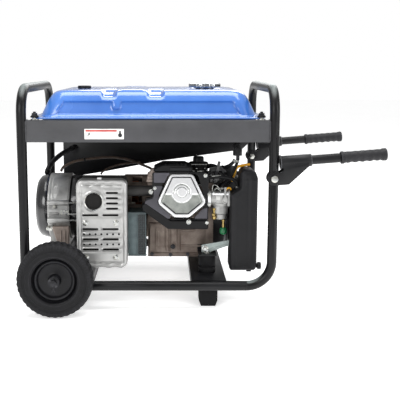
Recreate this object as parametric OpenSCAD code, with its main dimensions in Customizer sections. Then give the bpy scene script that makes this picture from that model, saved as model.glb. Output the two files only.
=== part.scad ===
// Portable generator on a two-wheel tube cradle.
// X runs along the crankshaft towards the fold-out handles, Y runs from the engine side
// to the control-panel side, Z is up. Everything is drawn about the middle of the cradle,
// and place() then moves the middle of the overall box onto the origin, at floor level.

/* [Cradle] */
// Outside length of the tube cradle
frame_l = 700; // [680:5:720]
// Outside width of the tube cradle
frame_w = 517; // [505:1:530]
// Height of the end hoops above the floor
frame_h = 617; // [610:1:640]
// Outside diameter of the cradle tube
tube_d = 26.7; // [25:0.1:27]
// Wall of the cradle tube
tube_wall = 2; // [1.5:0.1:3]
// Centre-line radius of every tube bend
bend_r = 68; // [60:1:75]
// Height of the bottom rails' centre line
rail_z = 67; // [65:1:68]
// Height of the top face of the side beams
beam_top_z = 521; // [519:1:523]
// Height of the side beams
beam_h = 58; // [50:1:60]

/* [Wheels] */
// Diameter of the tyres
wheel_d = 204; // [200:1:206]
// Width of the tyres
tyre_w = 50; // [40:1:52]
// Distance of the axle from the middle of the cradle
axle_x = -247; // [-250:1:-240]
// Diameter of the axle
axle_d = 16; // [12:1:18]

/* [Handles] */
// Length from the pivot bolt to the end of the grip
handle_l = 304; // [280:1:320]
// Diameter of the handle tube
handle_tube_d = 25.4; // [22:0.1:26]
// Upward slope of the opened handles
handle_tilt = 4.4; // [3:0.1:5]
// Diameter of the rubber grips
grip_d = 34; // [30:1:36]

/* [Tank] */
// Length of the tank dome at its base
tank_l = 586; // [570:1:590]
// Width of the tank dome at its base
tank_w = 416; // [400:1:420]
// Height of the dome above the beams
tank_rise = 74; // [70:1:76]
// Diameter of the fuel cap
cap_d = 92; // [84:1:94]

/* [Generator set] */
// Height of the crankshaft above the floor
crank_z = 240; // [238:1:242]
// Distance of the crankshaft from the middle of the cradle
crank_y = 20; // [18:1:22]
// Diameter of the stator housing
stator_d = 186; // [180:1:188]
// Bore of the engine cylinder
cylinder_bore = 88; // [80:1:90]
// Rise of the cylinder towards the engine side
cylinder_tilt = 18; // [17:1:19]

/* [Hidden] */
$fn = 48;
tube_r = tube_d / 2;
post_x = frame_l / 2 - tube_r;
post_y = frame_w / 2 - tube_r;
hoop_z = frame_h - tube_r;
wheel_r = wheel_d / 2;
axle_r = axle_d / 2;
bore_gap = 0.05; // radial running clearance
touch = 0.2; // gap between pieces that meet on different curves

// The handles' pivot and their reach set the overall box.
pivot_x = post_x;
pivot_z = 366;
pivot_bolt_r = 5;
handle_rise = 41.5; // tube centre line above the pivot, square to the tube
reach_x = pivot_x + handle_l * cos(handle_tilt) - (handle_rise - grip_d / 2 + 1) * sin(handle_tilt);
middle_x = (reach_x - frame_l / 2) / 2;

// Wheels
wheel_gap = 18; // cradle tube to tyre
wheel_y = frame_w / 2 + wheel_gap + tyre_w / 2;
axle_end_y = wheel_y + tyre_w / 2 + 14;
rim_r = 67;
hub_bore_r = axle_r + bore_gap;

// Side beams
beam_wall = 2.5;
beam_depth = 30;
beam_face_y = post_y + 7;
beam_end_x = frame_l / 2 - tube_d + 4; // the ends are notched round the posts

// Tank
tank_wall = 2;
pad_t = 3; // rubber washers under the tank
flange_l = 630;
flange_w = 478;
flange_corner_r = 34;
tank_corner_r = 44;
tank_seam_z = beam_top_z + pad_t + tank_wall; // where the two pressings' flanges meet
tank_floor_z = 467;
tank_top_z = tank_seam_z + tank_rise;
tank_bolt_x = 303;
tank_bolt_y = 232;
tank_bolt_r = 4;
cap_x = 160;
cap_y = -60;
neck_r = 24;
neck_wall = 3;
neck_top_z = tank_top_z + 6;
seal_t = 2;
cap_h = 12;
gauge_x = -187;
gauge_y = -60;
gauge_r = 19;
valve_x = 252;
valve_y = -120;

// Generator set, along the crankshaft
cover_end_x = -340;
bracket_x = -300;
stator_x = -236;
bell_x = -76;
case_x = -4;
blower_x = 186;
recoil_x = 258;
recoil_end_x = 296;
stator_r = stator_d / 2;
bolt_circle_r = stator_r + 8;
bolt_angles = [75, 105, 255, 285];
seat_depth = 5; // sunk seats of the long bolts' heads
case_wall = 20;
case_y0 = -105;
case_y1 = 135;
case_z0 = 112;
case_z1 = 330;
shaft_r = 12;
journal_r = 20;
bearing_r = 36;
crank_throw = 30;
pulley_r = 48; // the pull rope's winding radius
guide_l = 94; // crankshaft's plane to the mouth of the rope guide

// Cylinder frame: Z of this frame points from the crankshaft out through the valve cover
cyl_x = 92;
head_in = 150; // crankshaft to the head joint
head_out = 205; // crankshaft to the valve-cover joint
barrel_r = 54;
piston_h = 36;
port_out = 178; // crankshaft to the ports' centres
exhaust_up = 20; // exhaust port, above the cylinder's centre plane
exhaust_y = crank_y - port_out * cos(cylinder_tilt) + exhaust_up * sin(cylinder_tilt);
exhaust_z = crank_z + port_out * sin(cylinder_tilt) + exhaust_up * cos(cylinder_tilt);
intake_y = crank_y - port_out * cos(cylinder_tilt);
intake_z = crank_z + port_out * sin(cylinder_tilt);
head_points = [[-36, 52], [36, 52], [58, -16], [30, -54], [-30, -54], [-58, -16]];

// Muffler
muffler_x0 = -198;
muffler_x1 = -62;
muffler_z0 = 108;
muffler_z1 = 350;
muffler_y0 = -186;
muffler_y1 = -90;
shield_face_y = -200;
outlet_x = -152;
outlet_z = 294;
outlet_r = 26;

// Air cleaner
cleaner_x0 = 228;
cleaner_x1 = 304;
cleaner_y0 = -190;
cleaner_split_y = -172;
cleaner_y1 = -114;

// Cross members and what stands on them
cross_x = [-204, 166];
cross_w = 96;
cross_top_z = rail_z + tube_r;
cross_h = 26;
cross_end_y = post_y - 5;
foot_y = 198;
mount_x = [-220, 166];
mount_y = [-150, 160];
mount_r = [18, 24]; // the left ones stand beside the axle
mount_top_z = 131;

// Control panel, under the rear beam
panel_back_y = 178;
panel_front_y = 252;
panel_wall = 2.5;
panel_points = [[-285, 462], [285, 462], [285, 392], [32, 357], [-155, 321], [-285, 300]];
panel_inner_points = [[-282, 459.5], [282, 459.5], [282, 394.2], [31.5, 359.6],
    [-155.6, 323.7], [-282, 303]];
duplex_x = [-20, 55];
twist_x = [130, 195];
outlet_row_z = 416;
twist_r = 25;
meter_x = -225;
meter_z = 395;
meter_r = 32;
switch_x = -110;
button_x = 250;

// ---------------------------------------------------------------- helpers

// Moves the middle of the overall box onto the origin.
module place() translate([-middle_x, 0, 0]) children();

// Cross-section of the cradle tube
module tube_section() difference() {
    circle(r = tube_r);
    circle(r = tube_r - tube_wall);
}

// Quarter bend from +X (at angle 0) to +Y (at angle 90) about the origin
module tube_bend() rotate_extrude(angle = 90) translate([bend_r, 0]) tube_section();

module tube_run(l) linear_extrude(l) tube_section();

// A cylinder along X, Y or Z between two places
module rod_x(x0, x1, r) translate([x0, 0, 0]) rotate([0, 90, 0]) cylinder(r = r, h = x1 - x0);
module rod_y(y0, y1, r) translate([0, y1, 0]) rotate([90, 0, 0]) cylinder(r = r, h = y1 - y0);

module block(low, high) translate(low) cube(high - low);

// Draws in the frame of the crankshaft, whose Z is the crankshaft's X
module on_crank(x) translate([x, crank_y, crank_z]) rotate([0, 90, 0]) children();

// Draws in the frame of the cylinder, with Z out through the valve cover
module on_cylinder(out) translate([cyl_x, crank_y, crank_z]) rotate([90 - cylinder_tilt, 0, 0])
    translate([0, 0, out]) children();

module both_sides() for (s = [0, 1]) mirror([0, s, 0]) children();

// Points along a smooth curve through a list of points
function spline_point(a, b, c, d, t) = 0.5 * ((2 * b) + (c - a) * t
    + (2 * a - 5 * b + 4 * c - d) * t * t + (3 * b - a - 3 * c + d) * t * t * t);
function spline(p, steps) = [for (i = [0 : len(p) - 2], k = [0 : steps - 1])
    spline_point(p[max(i - 1, 0)], p[i], p[i + 1], p[min(i + 2, len(p) - 1)], k / steps),
    p[len(p) - 1]];

// A round tube swept along points, with `sides` sides
module swept(path, r, sides = 8) {
    n = len(path);
    unit = function (v) v / norm(v);
    ahead = function (i) unit(path[min(i + 1, n - 1)] - path[max(i - 1, 0)]);
    across = function (i) unit(cross(ahead(i), [0.13, 0.21, 0.97]));
    rings = [for (i = [0 : n - 1], k = [0 : sides - 1])
        path[i] + r * (cos(360 * k / sides) * across(i)
            + sin(360 * k / sides) * cross(ahead(i), across(i)))];
    walls = [for (i = [0 : n - 2], k = [0 : sides - 1]) let (m = (k + 1) % sides)
        [i * sides + m, i * sides + k, (i + 1) * sides + k, (i + 1) * sides + m]];
    ends = [[for (k = [0 : sides - 1]) k], [for (k = [sides - 1 : -1 : 0]) (n - 1) * sides + k]];
    polyhedron(rings, concat(walls, ends));
}

// ---------------------------------------------------------------- cradle

module end_hoop() {
    for (s = [-1, 1]) {
        translate([-post_x, s * post_y, rail_z + bend_r]) tube_run(hoop_z - rail_z - 2 * bend_r);
        // top bend, in the YZ plane
        translate([-post_x, s * (post_y - bend_r), hoop_z - bend_r])
            rotate([90, 0, s > 0 ? 90 : -90]) tube_bend();
        // bottom bend, in the XZ plane
        translate([-post_x + bend_r, s * post_y, rail_z + bend_r])
            rotate([90, 180, 0]) tube_bend();
    }
    translate([-post_x, post_y - bend_r, hoop_z]) rotate([90, 0, 0])
        tube_run(2 * (post_y - bend_r));
}

module end_hoops() color("#1c1c1e") place() difference() {
    for (s = [0, 1]) mirror([s, 0, 0]) end_hoop();
    translate([pivot_x, 0, pivot_z]) rod_y(-frame_w, frame_w, pivot_bolt_r);
}

// The long tubes between the hoops, with the axle's plates welded on top
module bottom_rails() color("#1c1c1e") place() for (s = [-1, 1]) {
    translate([-post_x + bend_r, s * post_y, rail_z]) rotate([0, 90, 0])
        tube_run(2 * (post_x - bend_r));
    difference() {
        union() {
            translate([axle_x, 0, wheel_r]) rod_y(s * post_y - 4, s * post_y + 4, 20);
            block([axle_x - 28, s * post_y - 4, rail_z + tube_r - 6],
                [axle_x + 28, s * post_y + 4, wheel_r]);
        }
        translate([axle_x, 0, wheel_r]) rod_y(-frame_w, frame_w, axle_r);
        translate([0, s * post_y, rail_z]) rod_x(-frame_l, frame_l, tube_r);
    }
}

// Folded channel, open towards the middle of the cradle
module side_beams() color("#29292b") place() both_sides() difference() {
    block([-beam_end_x, beam_face_y - beam_depth, beam_top_z - beam_h],
        [beam_end_x, beam_face_y, beam_top_z]);
    block([-frame_l, beam_face_y - frame_w, beam_top_z - beam_h + beam_wall],
        [frame_l, beam_face_y - beam_wall, beam_top_z - beam_wall]);
    for (x = [-1, 1]) {
        translate([x * tank_bolt_x, tank_bolt_y, 0]) cylinder(r = tank_bolt_r, h = frame_h);
        translate([x * post_x, post_y, 0]) cylinder(r = tube_r, h = frame_h);
    }
}

// Inverted channels between the bottom rails
module cross_members() color("#232325") place() for (x = cross_x) difference() {
    block([x - cross_w / 2, -cross_end_y, cross_top_z - cross_h],
        [x + cross_w / 2, cross_end_y, cross_top_z]);
    block([x - cross_w / 2 + 3, -frame_w, cross_top_z - frame_h],
        [x + cross_w / 2 - 3, frame_w, cross_top_z - 3]);
    for (s = [-1, 1]) translate([0, s * post_y, rail_z]) rod_x(-frame_l, frame_l, tube_r + touch);
}

// The axle, with a washer and a split pin outside each wheel
module axle() color("#8a8c8e") place() translate([axle_x, 0, wheel_r]) {
    difference() {
        rod_y(-axle_end_y, axle_end_y, axle_r);
        for (s = [-1, 1]) translate([0, s * (axle_end_y - 7), -wheel_r])
            cylinder(r = 2, h = wheel_d);
    }
    for (s = [-1, 1]) {
        translate([0, s * (axle_end_y - 11.5), 0]) difference() {
            rod_y(-1.5, 1.5, 15);
            rod_y(-2, 2, axle_r);
        }
        translate([0, s * (axle_end_y - 7), 0]) split_pin();
    }
}

module split_pin() {
    translate([0, 0, -17]) cylinder(r = 2, h = 28);
    translate([0, 0, 14]) rotate([0, 90, 0]) rotate_extrude() translate([4.2, 0]) circle(r = 1.6);
    for (x = [-1, 1]) translate([0, 0, -16]) rotate([0, 180 + x * 24, 0]) cylinder(r = 1.4, h = 10);
}

// Rubber feet under the right cross member, and the blocks that carry the generator set
module rubber_mounts() color("#151516") place() {
    for (s = [-1, 1]) translate([cross_x[1], s * foot_y, 0]) difference() {
        rotate([90, 0, 0]) translate([0, 0, -20]) linear_extrude(40)
            polygon([[-20, 0], [20, 0], [26, 16], [26, cross_top_z - 3], [-26, cross_top_z - 3],
                [-26, 16]]);
        translate([0, 0, 8]) cylinder(r = 9, h = 30);
        translate([0, 0, -1]) cylinder(r = 4.5, h = 30);
    }
    for (i = [0, 1], y = mount_y) translate([mount_x[i], y, cross_top_z]) {
        cylinder(r = mount_r[i], h = 16);
        translate([0, 0, 16]) cylinder(r = mount_r[i] - 5, h = 5);
        translate([0, 0, 21]) cylinder(r = mount_r[i], h = mount_top_z - cross_top_z - 21);
    }
}

// ---------------------------------------------------------------- wheels

// Cross-section of the tyre: X is the radius, Y the width
module tyre_section() {
    shoulder = 12;
    offset_r = wheel_r - shoulder;
    difference() {
        hull() for (s = [-1, 1]) {
            translate([offset_r, s * (tyre_w / 2 - shoulder)]) circle(r = shoulder);
            translate([rim_r - 4, s * (tyre_w / 2 - 6)]) circle(r = 4);
        }
        translate([0, -tyre_w]) square([rim_r - 6, 2 * tyre_w]);
    }
}

module tyre(s) color("#1a1a1b") place() translate([axle_x, s * wheel_y, wheel_r]) rotate([90, 0, 0])
    rotate_extrude($fn = 96) tyre_section();

// Pressed rim with its bearing tube
module wheel_hub(s) color("#202022") place() translate([axle_x, s * wheel_y, wheel_r])
    rotate([90, 0, 0]) rotate_extrude($fn = 96) {
        w = tyre_w / 2;
        translate([rim_r - 8 - touch, -w + 6]) square([2, tyre_w - 12]);
        translate([14, -2]) square([rim_r - 21 - touch, 4]);
        translate([48, -7]) square([6, 14]);
        translate([hub_bore_r, -w]) square([16 - hub_bore_r, tyre_w]);
    }

module tyre_front() tyre(-1);
module wheel_hub_front() wheel_hub(-1);
module tyre_rear() tyre(1);
module wheel_hub_rear() wheel_hub(1);

// ---------------------------------------------------------------- handles

// Handle frame: X along the tube, the pivot at the origin
module on_handle(s) translate([pivot_x, s * post_y, pivot_z]) rotate([0, -handle_tilt, 0])
    children();

plate_in = tube_r + 0.6; // pivot plates clear the post on each side
plate_t = 3;
plate_r = 18;
sleeve_start = 21;
sleeve_end = 101;
sleeve_r = 17;
grip_start = 182;

module pivot_plate() rotate([90, 0, 0]) linear_extrude(plate_t) difference() {
    union() {
        circle(r = plate_r);
        polygon([[0, -plate_r], [38, -plate_r], [sleeve_end - 6, 28], [sleeve_end - 6, 38],
            [sleeve_start, 38], [27, 22], [16, 15], [0, plate_r]]);
    }
    circle(r = pivot_bolt_r + bore_gap);
}

// Pivot plates, the sleeve welded across them, and the tube inside the sleeve
module handle_arm(s) color("#1d1d1f") place() on_handle(s) difference() {
    union() {
        translate([0, plate_in + plate_t, 0]) pivot_plate();
        translate([0, -plate_in, 0]) pivot_plate();
        translate([0, 0, handle_rise]) {
            rod_x(sleeve_start, sleeve_end, sleeve_r);
            rod_x(sleeve_end - 1, handle_l - 6, handle_tube_d / 2);
        }
    }
    translate([0, 0, handle_rise]) rod_x(0, handle_l, handle_tube_d / 2 - 2);
}

module handle_grip(s) color("#222224") place() on_handle(s) translate([0, 0, handle_rise]) difference() {
    union() {
        rod_x(grip_start, handle_l, grip_d / 2 - 1);
        for (i = [0 : 5]) rod_x(grip_start + 8 + i * 19, grip_start + 18 + i * 19, grip_d / 2);
    }
    rod_x(grip_start - 1, handle_l - 6, handle_tube_d / 2);
}

module handle_arm_front() handle_arm(-1);
module handle_grip_front() handle_grip(-1);
module handle_arm_rear() handle_arm(1);
module handle_grip_rear() handle_grip(1);

// Bolts through the posts, with heads outside and nuts inside the pivot plates
module handle_pivot_bolts() color("#c4c6c8") place() both_sides() translate([pivot_x, post_y, pivot_z]) {
    outer = plate_in + plate_t + touch;
    rod_y(-outer - 8, outer + 6, pivot_bolt_r);
    rod_y(outer, outer + 6, 9);
    translate([0, -outer, 0]) rotate([90, 0, 0]) cylinder(r = 9.2, h = 8, $fn = 6);
}

// ---------------------------------------------------------------- fuel tank

// Block with upright rounded corners, centred in X and Y
module rounded_block(l, w, h, r) linear_extrude(h) {
    square([l - 2 * r, w], center = true);
    square([l, w - 2 * r], center = true);
    for (x = [-1, 1], y = [-1, 1]) translate([x * (l / 2 - r), y * (w / 2 - r)]) circle(r = r);
}

// Levels of the tank's dome: length, width, rise above the seam, corner radius
dome_levels = [[tank_l, tank_w, 0, tank_corner_r],
    [tank_l - 12, tank_w - 12, tank_rise * 0.35, tank_corner_r - 2],
    [tank_l - 52, tank_w - 46, tank_rise * 0.82, tank_corner_r - 8],
    [tank_l - 110, tank_w - 104, tank_rise, tank_corner_r - 14]];

module tank_dome(inset) hull() for (level = dome_levels, x = [-1, 1], y = [-1, 1])
    translate([x * (level[0] / 2 - level[3]), y * (level[1] / 2 - level[3]),
            tank_seam_z + max(level[2] - 0.5, 0) - inset])
        cylinder(r = level[3] - inset, h = 0.5, $fn = 32);

module tank_bolt_places() for (x = [-1, 1], y = [-1, 1])
    translate([x * tank_bolt_x, y * tank_bolt_y, 0]) children();

module tank_upper_shell() color("#3c6fc4") place() difference() {
    union() {
        tank_dome(0);
        translate([0, 0, tank_seam_z]) rounded_block(flange_l, flange_w, tank_wall,
            flange_corner_r);
    }
    tank_dome(tank_wall);
    translate([cap_x, cap_y, tank_seam_z]) cylinder(r = neck_r + neck_wall, h = frame_h);
    translate([gauge_x, gauge_y, tank_seam_z]) cylinder(r = gauge_r - 6, h = frame_h);
    tank_bolt_places() cylinder(r = tank_bolt_r, h = frame_h);
}

module tank_lower_shell() color("#3a68b4") place() difference() {
    union() {
        translate([0, 0, tank_seam_z - tank_wall]) rounded_block(flange_l, flange_w, tank_wall,
            flange_corner_r);
        translate([0, 0, tank_floor_z]) rounded_block(tank_l, tank_w, tank_seam_z - tank_floor_z,
            tank_corner_r);
    }
    translate([0, 0, tank_floor_z + tank_wall]) rounded_block(tank_l - 2 * tank_wall,
        tank_w - 2 * tank_wall, frame_h, tank_corner_r - tank_wall);
    translate([valve_x, valve_y, 0]) cylinder(r = 4, h = frame_h);
    tank_bolt_places() cylinder(r = tank_bolt_r, h = frame_h);
}

module filler_neck() color("#9a9ca0") place() translate([cap_x, cap_y, 0]) difference() {
    union() {
        translate([0, 0, tank_top_z - 34]) cylinder(r = neck_r + neck_wall,
            h = neck_top_z - tank_top_z + 34);
        translate([0, 0, tank_top_z]) cylinder(r = neck_r + 8, h = 1.5);
    }
    cylinder(r = neck_r, h = frame_h);
}

module cap_seal() color("#1a1a1b") place() translate([cap_x, cap_y, neck_top_z]) difference() {
    cylinder(r = neck_r + neck_wall, h = seal_t);
    translate([0, 0, -1]) cylinder(r = neck_r - 4, h = seal_t + 2);
}

module fuel_cap() color("#d8dadc") place() translate([cap_x, cap_y, neck_top_z + seal_t]) difference() {
    translate([0, 0, -5]) cylinder(r = cap_d / 2, h = cap_h);
    translate([0, 0, -6]) cylinder(r = cap_d / 2 - 8, h = 6);
}

module fuel_gauge() color("#1b1b1c") place() translate([gauge_x, gauge_y, tank_top_z]) {
    difference() {
        cylinder(r = gauge_r, h = 8);
        translate([0, 0, 3]) cylinder(r = gauge_r - 4, h = 6);
    }
    translate([0, 0, -30]) cylinder(r = gauge_r - 6, h = 30);
}

// Tank bolts on rubber pads, and the long bolts that clamp the alternator together
module fixing_bolts() color("#b4b6b8") place() {
    tank_bolt_places() {
        translate([0, 0, beam_top_z - 14]) cylinder(r = tank_bolt_r, h = 14 + pad_t + 5);
        translate([0, 0, beam_top_z - beam_wall - 7]) cylinder(r = 7.5, h = 7, $fn = 6);
        translate([0, 0, beam_top_z]) difference() {
            cylinder(r = 11, h = pad_t);
            translate([0, 0, -1]) cylinder(r = tank_bolt_r, h = pad_t + 2);
        }
        translate([0, 0, tank_seam_z + tank_wall]) cylinder(r = 9, h = 1.6);
        translate([0, 0, tank_seam_z + tank_wall + 1.6]) cylinder(r = 7, h = 5, $fn = 6);
    }
    on_crank(bracket_x) for (a = bolt_angles) rotate([0, 0, a]) translate([bolt_circle_r, 0, 0]) {
        translate([0, 0, seat_depth]) cylinder(r = 3.5, h = bell_x + 30 - bracket_x);
        translate([0, 0, touch]) cylinder(r = 6.5, h = seat_depth - touch, $fn = 6);
    }
}

module fuel_valve() color("#3a3a3d") place() translate([valve_x, valve_y, 0]) {
    translate([0, 0, 400]) cylinder(r = 4, h = tank_floor_z + 6 - 400);
    translate([0, 0, 446]) cylinder(r = 11, h = tank_floor_z - 446, $fn = 6);
    difference() {
        translate([0, 0, 412]) cylinder(r = 13, h = 34);
        translate([0, 0, 430]) rod_y(-30, -8, 5 + bore_gap);
    }
}

module fuel_valve_lever() color("#2a2a2c") place() translate([valve_x, valve_y, 430]) {
    rod_y(-15, -8.5, 5);
    rod_y(-20, -15, 9);
    block([-4, -20, -30], [4, -16, 0]);
}

// Fuel line from the valve to the carburettor, and the breather to the air cleaner
fuel_route = [[252, -120, 400], [250, -122, 388], [240, -128, 366], [226, -138, 344],
    [209, -148, 329], [207, -149, 317.5]];
breather_route = [[140, -128, 322], [148, -138, 340], [166, -142, 350], [196, -142, 354],
    [226, -142, 350], [244, -142, 343], [250, -142, 332], [250, -142, 317]];
breather_r = 5;

module rubber_hoses() color("#1d1d1f") place() {
    swept(spline(fuel_route, 5), 4.5);
    swept(spline(breather_route, 5), breather_r);
}

// ---------------------------------------------------------------- alternator

module alternator_end_cover() color("#161617") place() on_crank(cover_end_x) rotate_extrude($fn = 96)
    polygon([[0, 0], [66, 0], [82, 3], [92, 12], [97, 28], [97, 40], [94, 40], [94, 28],
        [89.5, 14.5], [80.5, 6], [66, 3], [0, 3]]);

// Feet and bolt lugs that both alternator brackets share, in the cradle's frame
module bracket_lugs(h) for (a = bolt_angles) rotate([0, 0, a])
    translate([bolt_circle_r, 0, 0]) cylinder(r = 8, h = h);

module alternator_rear_bracket() color("#a9a6a2") place() difference() {
    union() {
        on_crank(bracket_x) {
            cylinder(r = stator_r + 7, h = stator_x - bracket_x, $fn = 96);
            bracket_lugs(stator_x - bracket_x);
        }
        block([-296, crank_y - 78, 138], [-240, crank_y + 78, 200]);
        block([-296, mount_y[0] - 24, mount_top_z], [-240, mount_y[1] + 24, 143]);
        for (y = mount_y) block([-256, y - 24, mount_top_z], [-204, y + 24, 137]);
    }
    on_crank(bracket_x + 14) cylinder(r = stator_r - 5, h = stator_x - bracket_x, $fn = 96);
    on_crank(bracket_x - 1) cylinder(r = bearing_r - 8, h = 30);
    // cooling windows
    for (a = [30 : 60 : 330]) on_crank(bracket_x - 1) rotate([0, 0, a]) translate([50, -14, 0])
        cube([30, 28, 20]);
    on_crank(bracket_x - 1) for (a = bolt_angles) rotate([0, 0, a])
        translate([bolt_circle_r, 0, 0]) {
            cylinder(r = 3.5 + bore_gap, h = frame_w);
            cylinder(r = 7.5, h = 1 + seat_depth);
        }
}

module stator() color("#151516") place() on_crank(stator_x) difference() {
    cylinder(r = stator_r, h = bell_x - stator_x, $fn = 96);
    translate([0, 0, -1]) cylinder(r = 63, h = frame_w, $fn = 96);
}

module alternator_front_bracket() color("#6d6862") place() on_crank(bell_x) difference() {
    union() {
        cylinder(r = stator_r + 3, h = case_x - bell_x, $fn = 96);
        bracket_lugs(34);
    }
    translate([0, 0, 12]) cylinder(r = stator_r - 6, h = frame_w, $fn = 96);
    translate([0, 0, -1]) cylinder(r = 63, h = 30, $fn = 96);
    for (a = [0 : 45 : 315]) rotate([0, 0, a + 22.5]) translate([60, -16, 24]) cube([60, 32, 30]);
    for (a = bolt_angles) rotate([0, 0, a]) translate([bolt_circle_r, 0, -1])
        cylinder(r = 3.5 + bore_gap, h = 38);
}

module rotor() color("#8d5a34") place() on_crank(bracket_x + 2) {
    cylinder(r = shaft_r - bore_gap, h = case_x - bracket_x - 2);
    translate([0, 0, stator_x - bracket_x + 8]) cylinder(r = 61, h = bell_x - stator_x - 16);
    // cooling fan on the engine side of the windings
    translate([0, 0, bell_x - bracket_x + 16]) {
        cylinder(r = 30, h = 26);
        cylinder(r = 78, h = 3);
        for (a = [0 : 30 : 330]) rotate([0, 0, a]) translate([28, -1.5, 0]) cube([48, 3, 24]);
    }
}

// The rotor's rear bearing and the crankshaft's two main bearings
module shaft_bearings() color("#c9cbcd") place() {
    on_crank(bracket_x + 1) bearing(shaft_r, bearing_r - 8, 13);
    for (x = [case_x + 2, blower_x - case_wall + 2]) on_crank(x)
        bearing(journal_r, bearing_r, 16);
}

module bearing(inner, outer, h) difference() {
    cylinder(r = outer, h = h);
    translate([0, 0, -1]) cylinder(r = inner, h = h + 2);
    translate([0, 0, h - 2]) difference() {
        cylinder(r = outer - 4, h = 3);
        cylinder(r = inner + 4, h = 3);
    }
}

// ---------------------------------------------------------------- engine

module crankcase() color("#6e645d") place() difference() {
    union() {
        block([case_x, case_y0, case_z0], [blower_x, case_y1, case_z1]);
        on_cylinder(0) cylinder(r = barrel_r, h = head_in);
    }
    block([case_x + case_wall, case_y0 + 8, case_z0 + 10],
        [blower_x - case_wall, case_y1 - 8, case_z1 - 8]);
    on_cylinder(0) cylinder(r = cylinder_bore / 2, h = head_out);
    on_crank(case_x - 1) cylinder(r = bearing_r, h = frame_w);
    // dipstick and drain holes
    translate([150, 0, 160]) rod_y(case_y1 - 20, case_y1 + 20, 9 + bore_gap);
    translate([160, 0, 134]) rod_y(case_y0 - 20, case_y0 + 20, 6);
}

module crankshaft() color("#a5a7a9") place() {
    on_crank(case_x) cylinder(r = journal_r - bore_gap, h = cyl_x - 14 - case_x);
    on_crank(cyl_x + 14) cylinder(r = journal_r - bore_gap, h = blower_x + 4 - cyl_x - 14);
    on_crank(blower_x + 4) cylinder(r = 12, h = 68);
    for (x = [-1, 1]) on_crank(cyl_x - 8 + x * 22) cylinder(r = 54, h = 16);
    on_cylinder(crank_throw) translate([-14, 0, 0]) rotate([0, 90, 0]) cylinder(r = 16, h = 28);
}

module piston() color("#bfc1c3") place() on_cylinder(head_in - 2 - piston_h) difference() {
    cylinder(r = cylinder_bore / 2 - bore_gap, h = piston_h);
    translate([0, 0, -1]) cylinder(r = cylinder_bore / 2 - 7, h = piston_h - 8);
}

module cylinder_head() color("#8b8680") place() on_cylinder(head_in) difference() {
    linear_extrude(head_out - head_in) polygon(head_points);
    translate([0, 0, -1]) cylinder(r = 38, h = 9);
    // ports and the plug hole
    translate([0, exhaust_up, port_out - head_in]) rotate([0, -90, 0]) cylinder(r = 14, h = 80);
    translate([0, 0, port_out - head_in]) rotate([0, 90, 0]) cylinder(r = 14, h = 80);
    translate([-40, -8, port_out - head_in - 8]) rotate([0, -90, 0]) cylinder(r = 7, h = 30);
}

module spark_plug() color("#e6e2da") place() on_cylinder(port_out - 8) translate([-40, -8, 0])
    rotate([0, -90, 0]) {
        cylinder(r = 7, h = 20);
        translate([0, 0, 20]) cylinder(r = 9, h = 7, $fn = 6);
        translate([0, 0, 27]) cylinder(r = 6, h = 17);
    }

// Rounded outline of the rocker cover, shrunk by `inset`
module rocker_outline(inset) for (p = [[[24, 48], 12], [[50, -16], 15], [[16, -48], 12]],
        x = [-1, 1]) translate([x * p[0][0], p[0][1], 0]) cylinder(r = p[1] - inset, h = 1, $fn = 32);

module valve_cover() color("#d5d7d9") place() on_cylinder(head_out) difference() {
    hull() {
        rocker_outline(0);
        translate([0, 0, 15]) rocker_outline(1);
        translate([0, 0, 20]) rocker_outline(6);
    }
    translate([0, 0, -1]) hull() {
        rocker_outline(4);
        translate([0, 0, 17]) rocker_outline(6);
    }
}

// Dark air-guide panel round the head, the black skirt under it and the hood above it
module head_shroud() color("#55525f") place() {
    translate([0, -170, 0]) rotate([90, 0, 0]) linear_extrude(6) difference() {
        polygon([[10, 371], [160, 371], [167, 364], [167, 235], [62, 235], [-8, 284], [-12, 292],
            [-4, 299], [10, 301]]);
        translate([cyl_x, 303]) polygon([[-44, 64], [44, 64], [70, -16], [38, -64], [-38, -64],
            [-70, -16]]);
    }
    translate([0, -142, 0]) rotate([90, 0, 0]) linear_extrude(36)
        polygon([[-20, 277], [-16, 262], [54, 210], [167, 210], [167, 235], [62, 235], [-8, 284]]);
    translate([0, -84, 0]) rotate([90, 0, 0]) linear_extrude(86)
        polygon([[14, 371], [122, 371], [122, 384], [100, 393], [40, 393], [14, 380]]);
}

module fuel_pump() color("#1a1a1b") place() translate([144, -56, case_z1]) {
    cylinder(r = 20, h = 24);
    translate([0, 0, 24]) cylinder(r = 26, h = 26);
    translate([0, 0, 50]) cylinder(r = 29, h = 5);
    translate([0, 0, 55]) cylinder(r = 16, h = 16);
    translate([0, 0, 40]) rod_x(20, 44, 5);
}

module blower_housing() color("#202022") place() on_crank(blower_x) difference() {
    cylinder(r = 122, h = recoil_x - blower_x, $fn = 96);
    translate([0, 0, 3]) cylinder(r = 119, h = recoil_x - blower_x - 6, $fn = 96);
    translate([0, 0, -1]) cylinder(r = 84, h = frame_w, $fn = 96);
}

module flywheel() color("#7a7c7e") place() on_crank(blower_x + 8) {
    difference() {
        cylinder(r = 100, h = 30, $fn = 96);
        translate([0, 0, -1]) cylinder(r = 12, h = 32);
    }
    for (a = [0 : 30 : 330]) rotate([0, 0, a]) translate([60, -2, 30]) cube([38, 4, 18]);
    // starter cup
    translate([0, 0, 30]) difference() {
        cylinder(r = 42, h = 32);
        translate([0, 0, 3]) cylinder(r = 39, h = 32);
        translate([0, 0, -1]) cylinder(r = 12, h = 10);
    }
}

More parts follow.
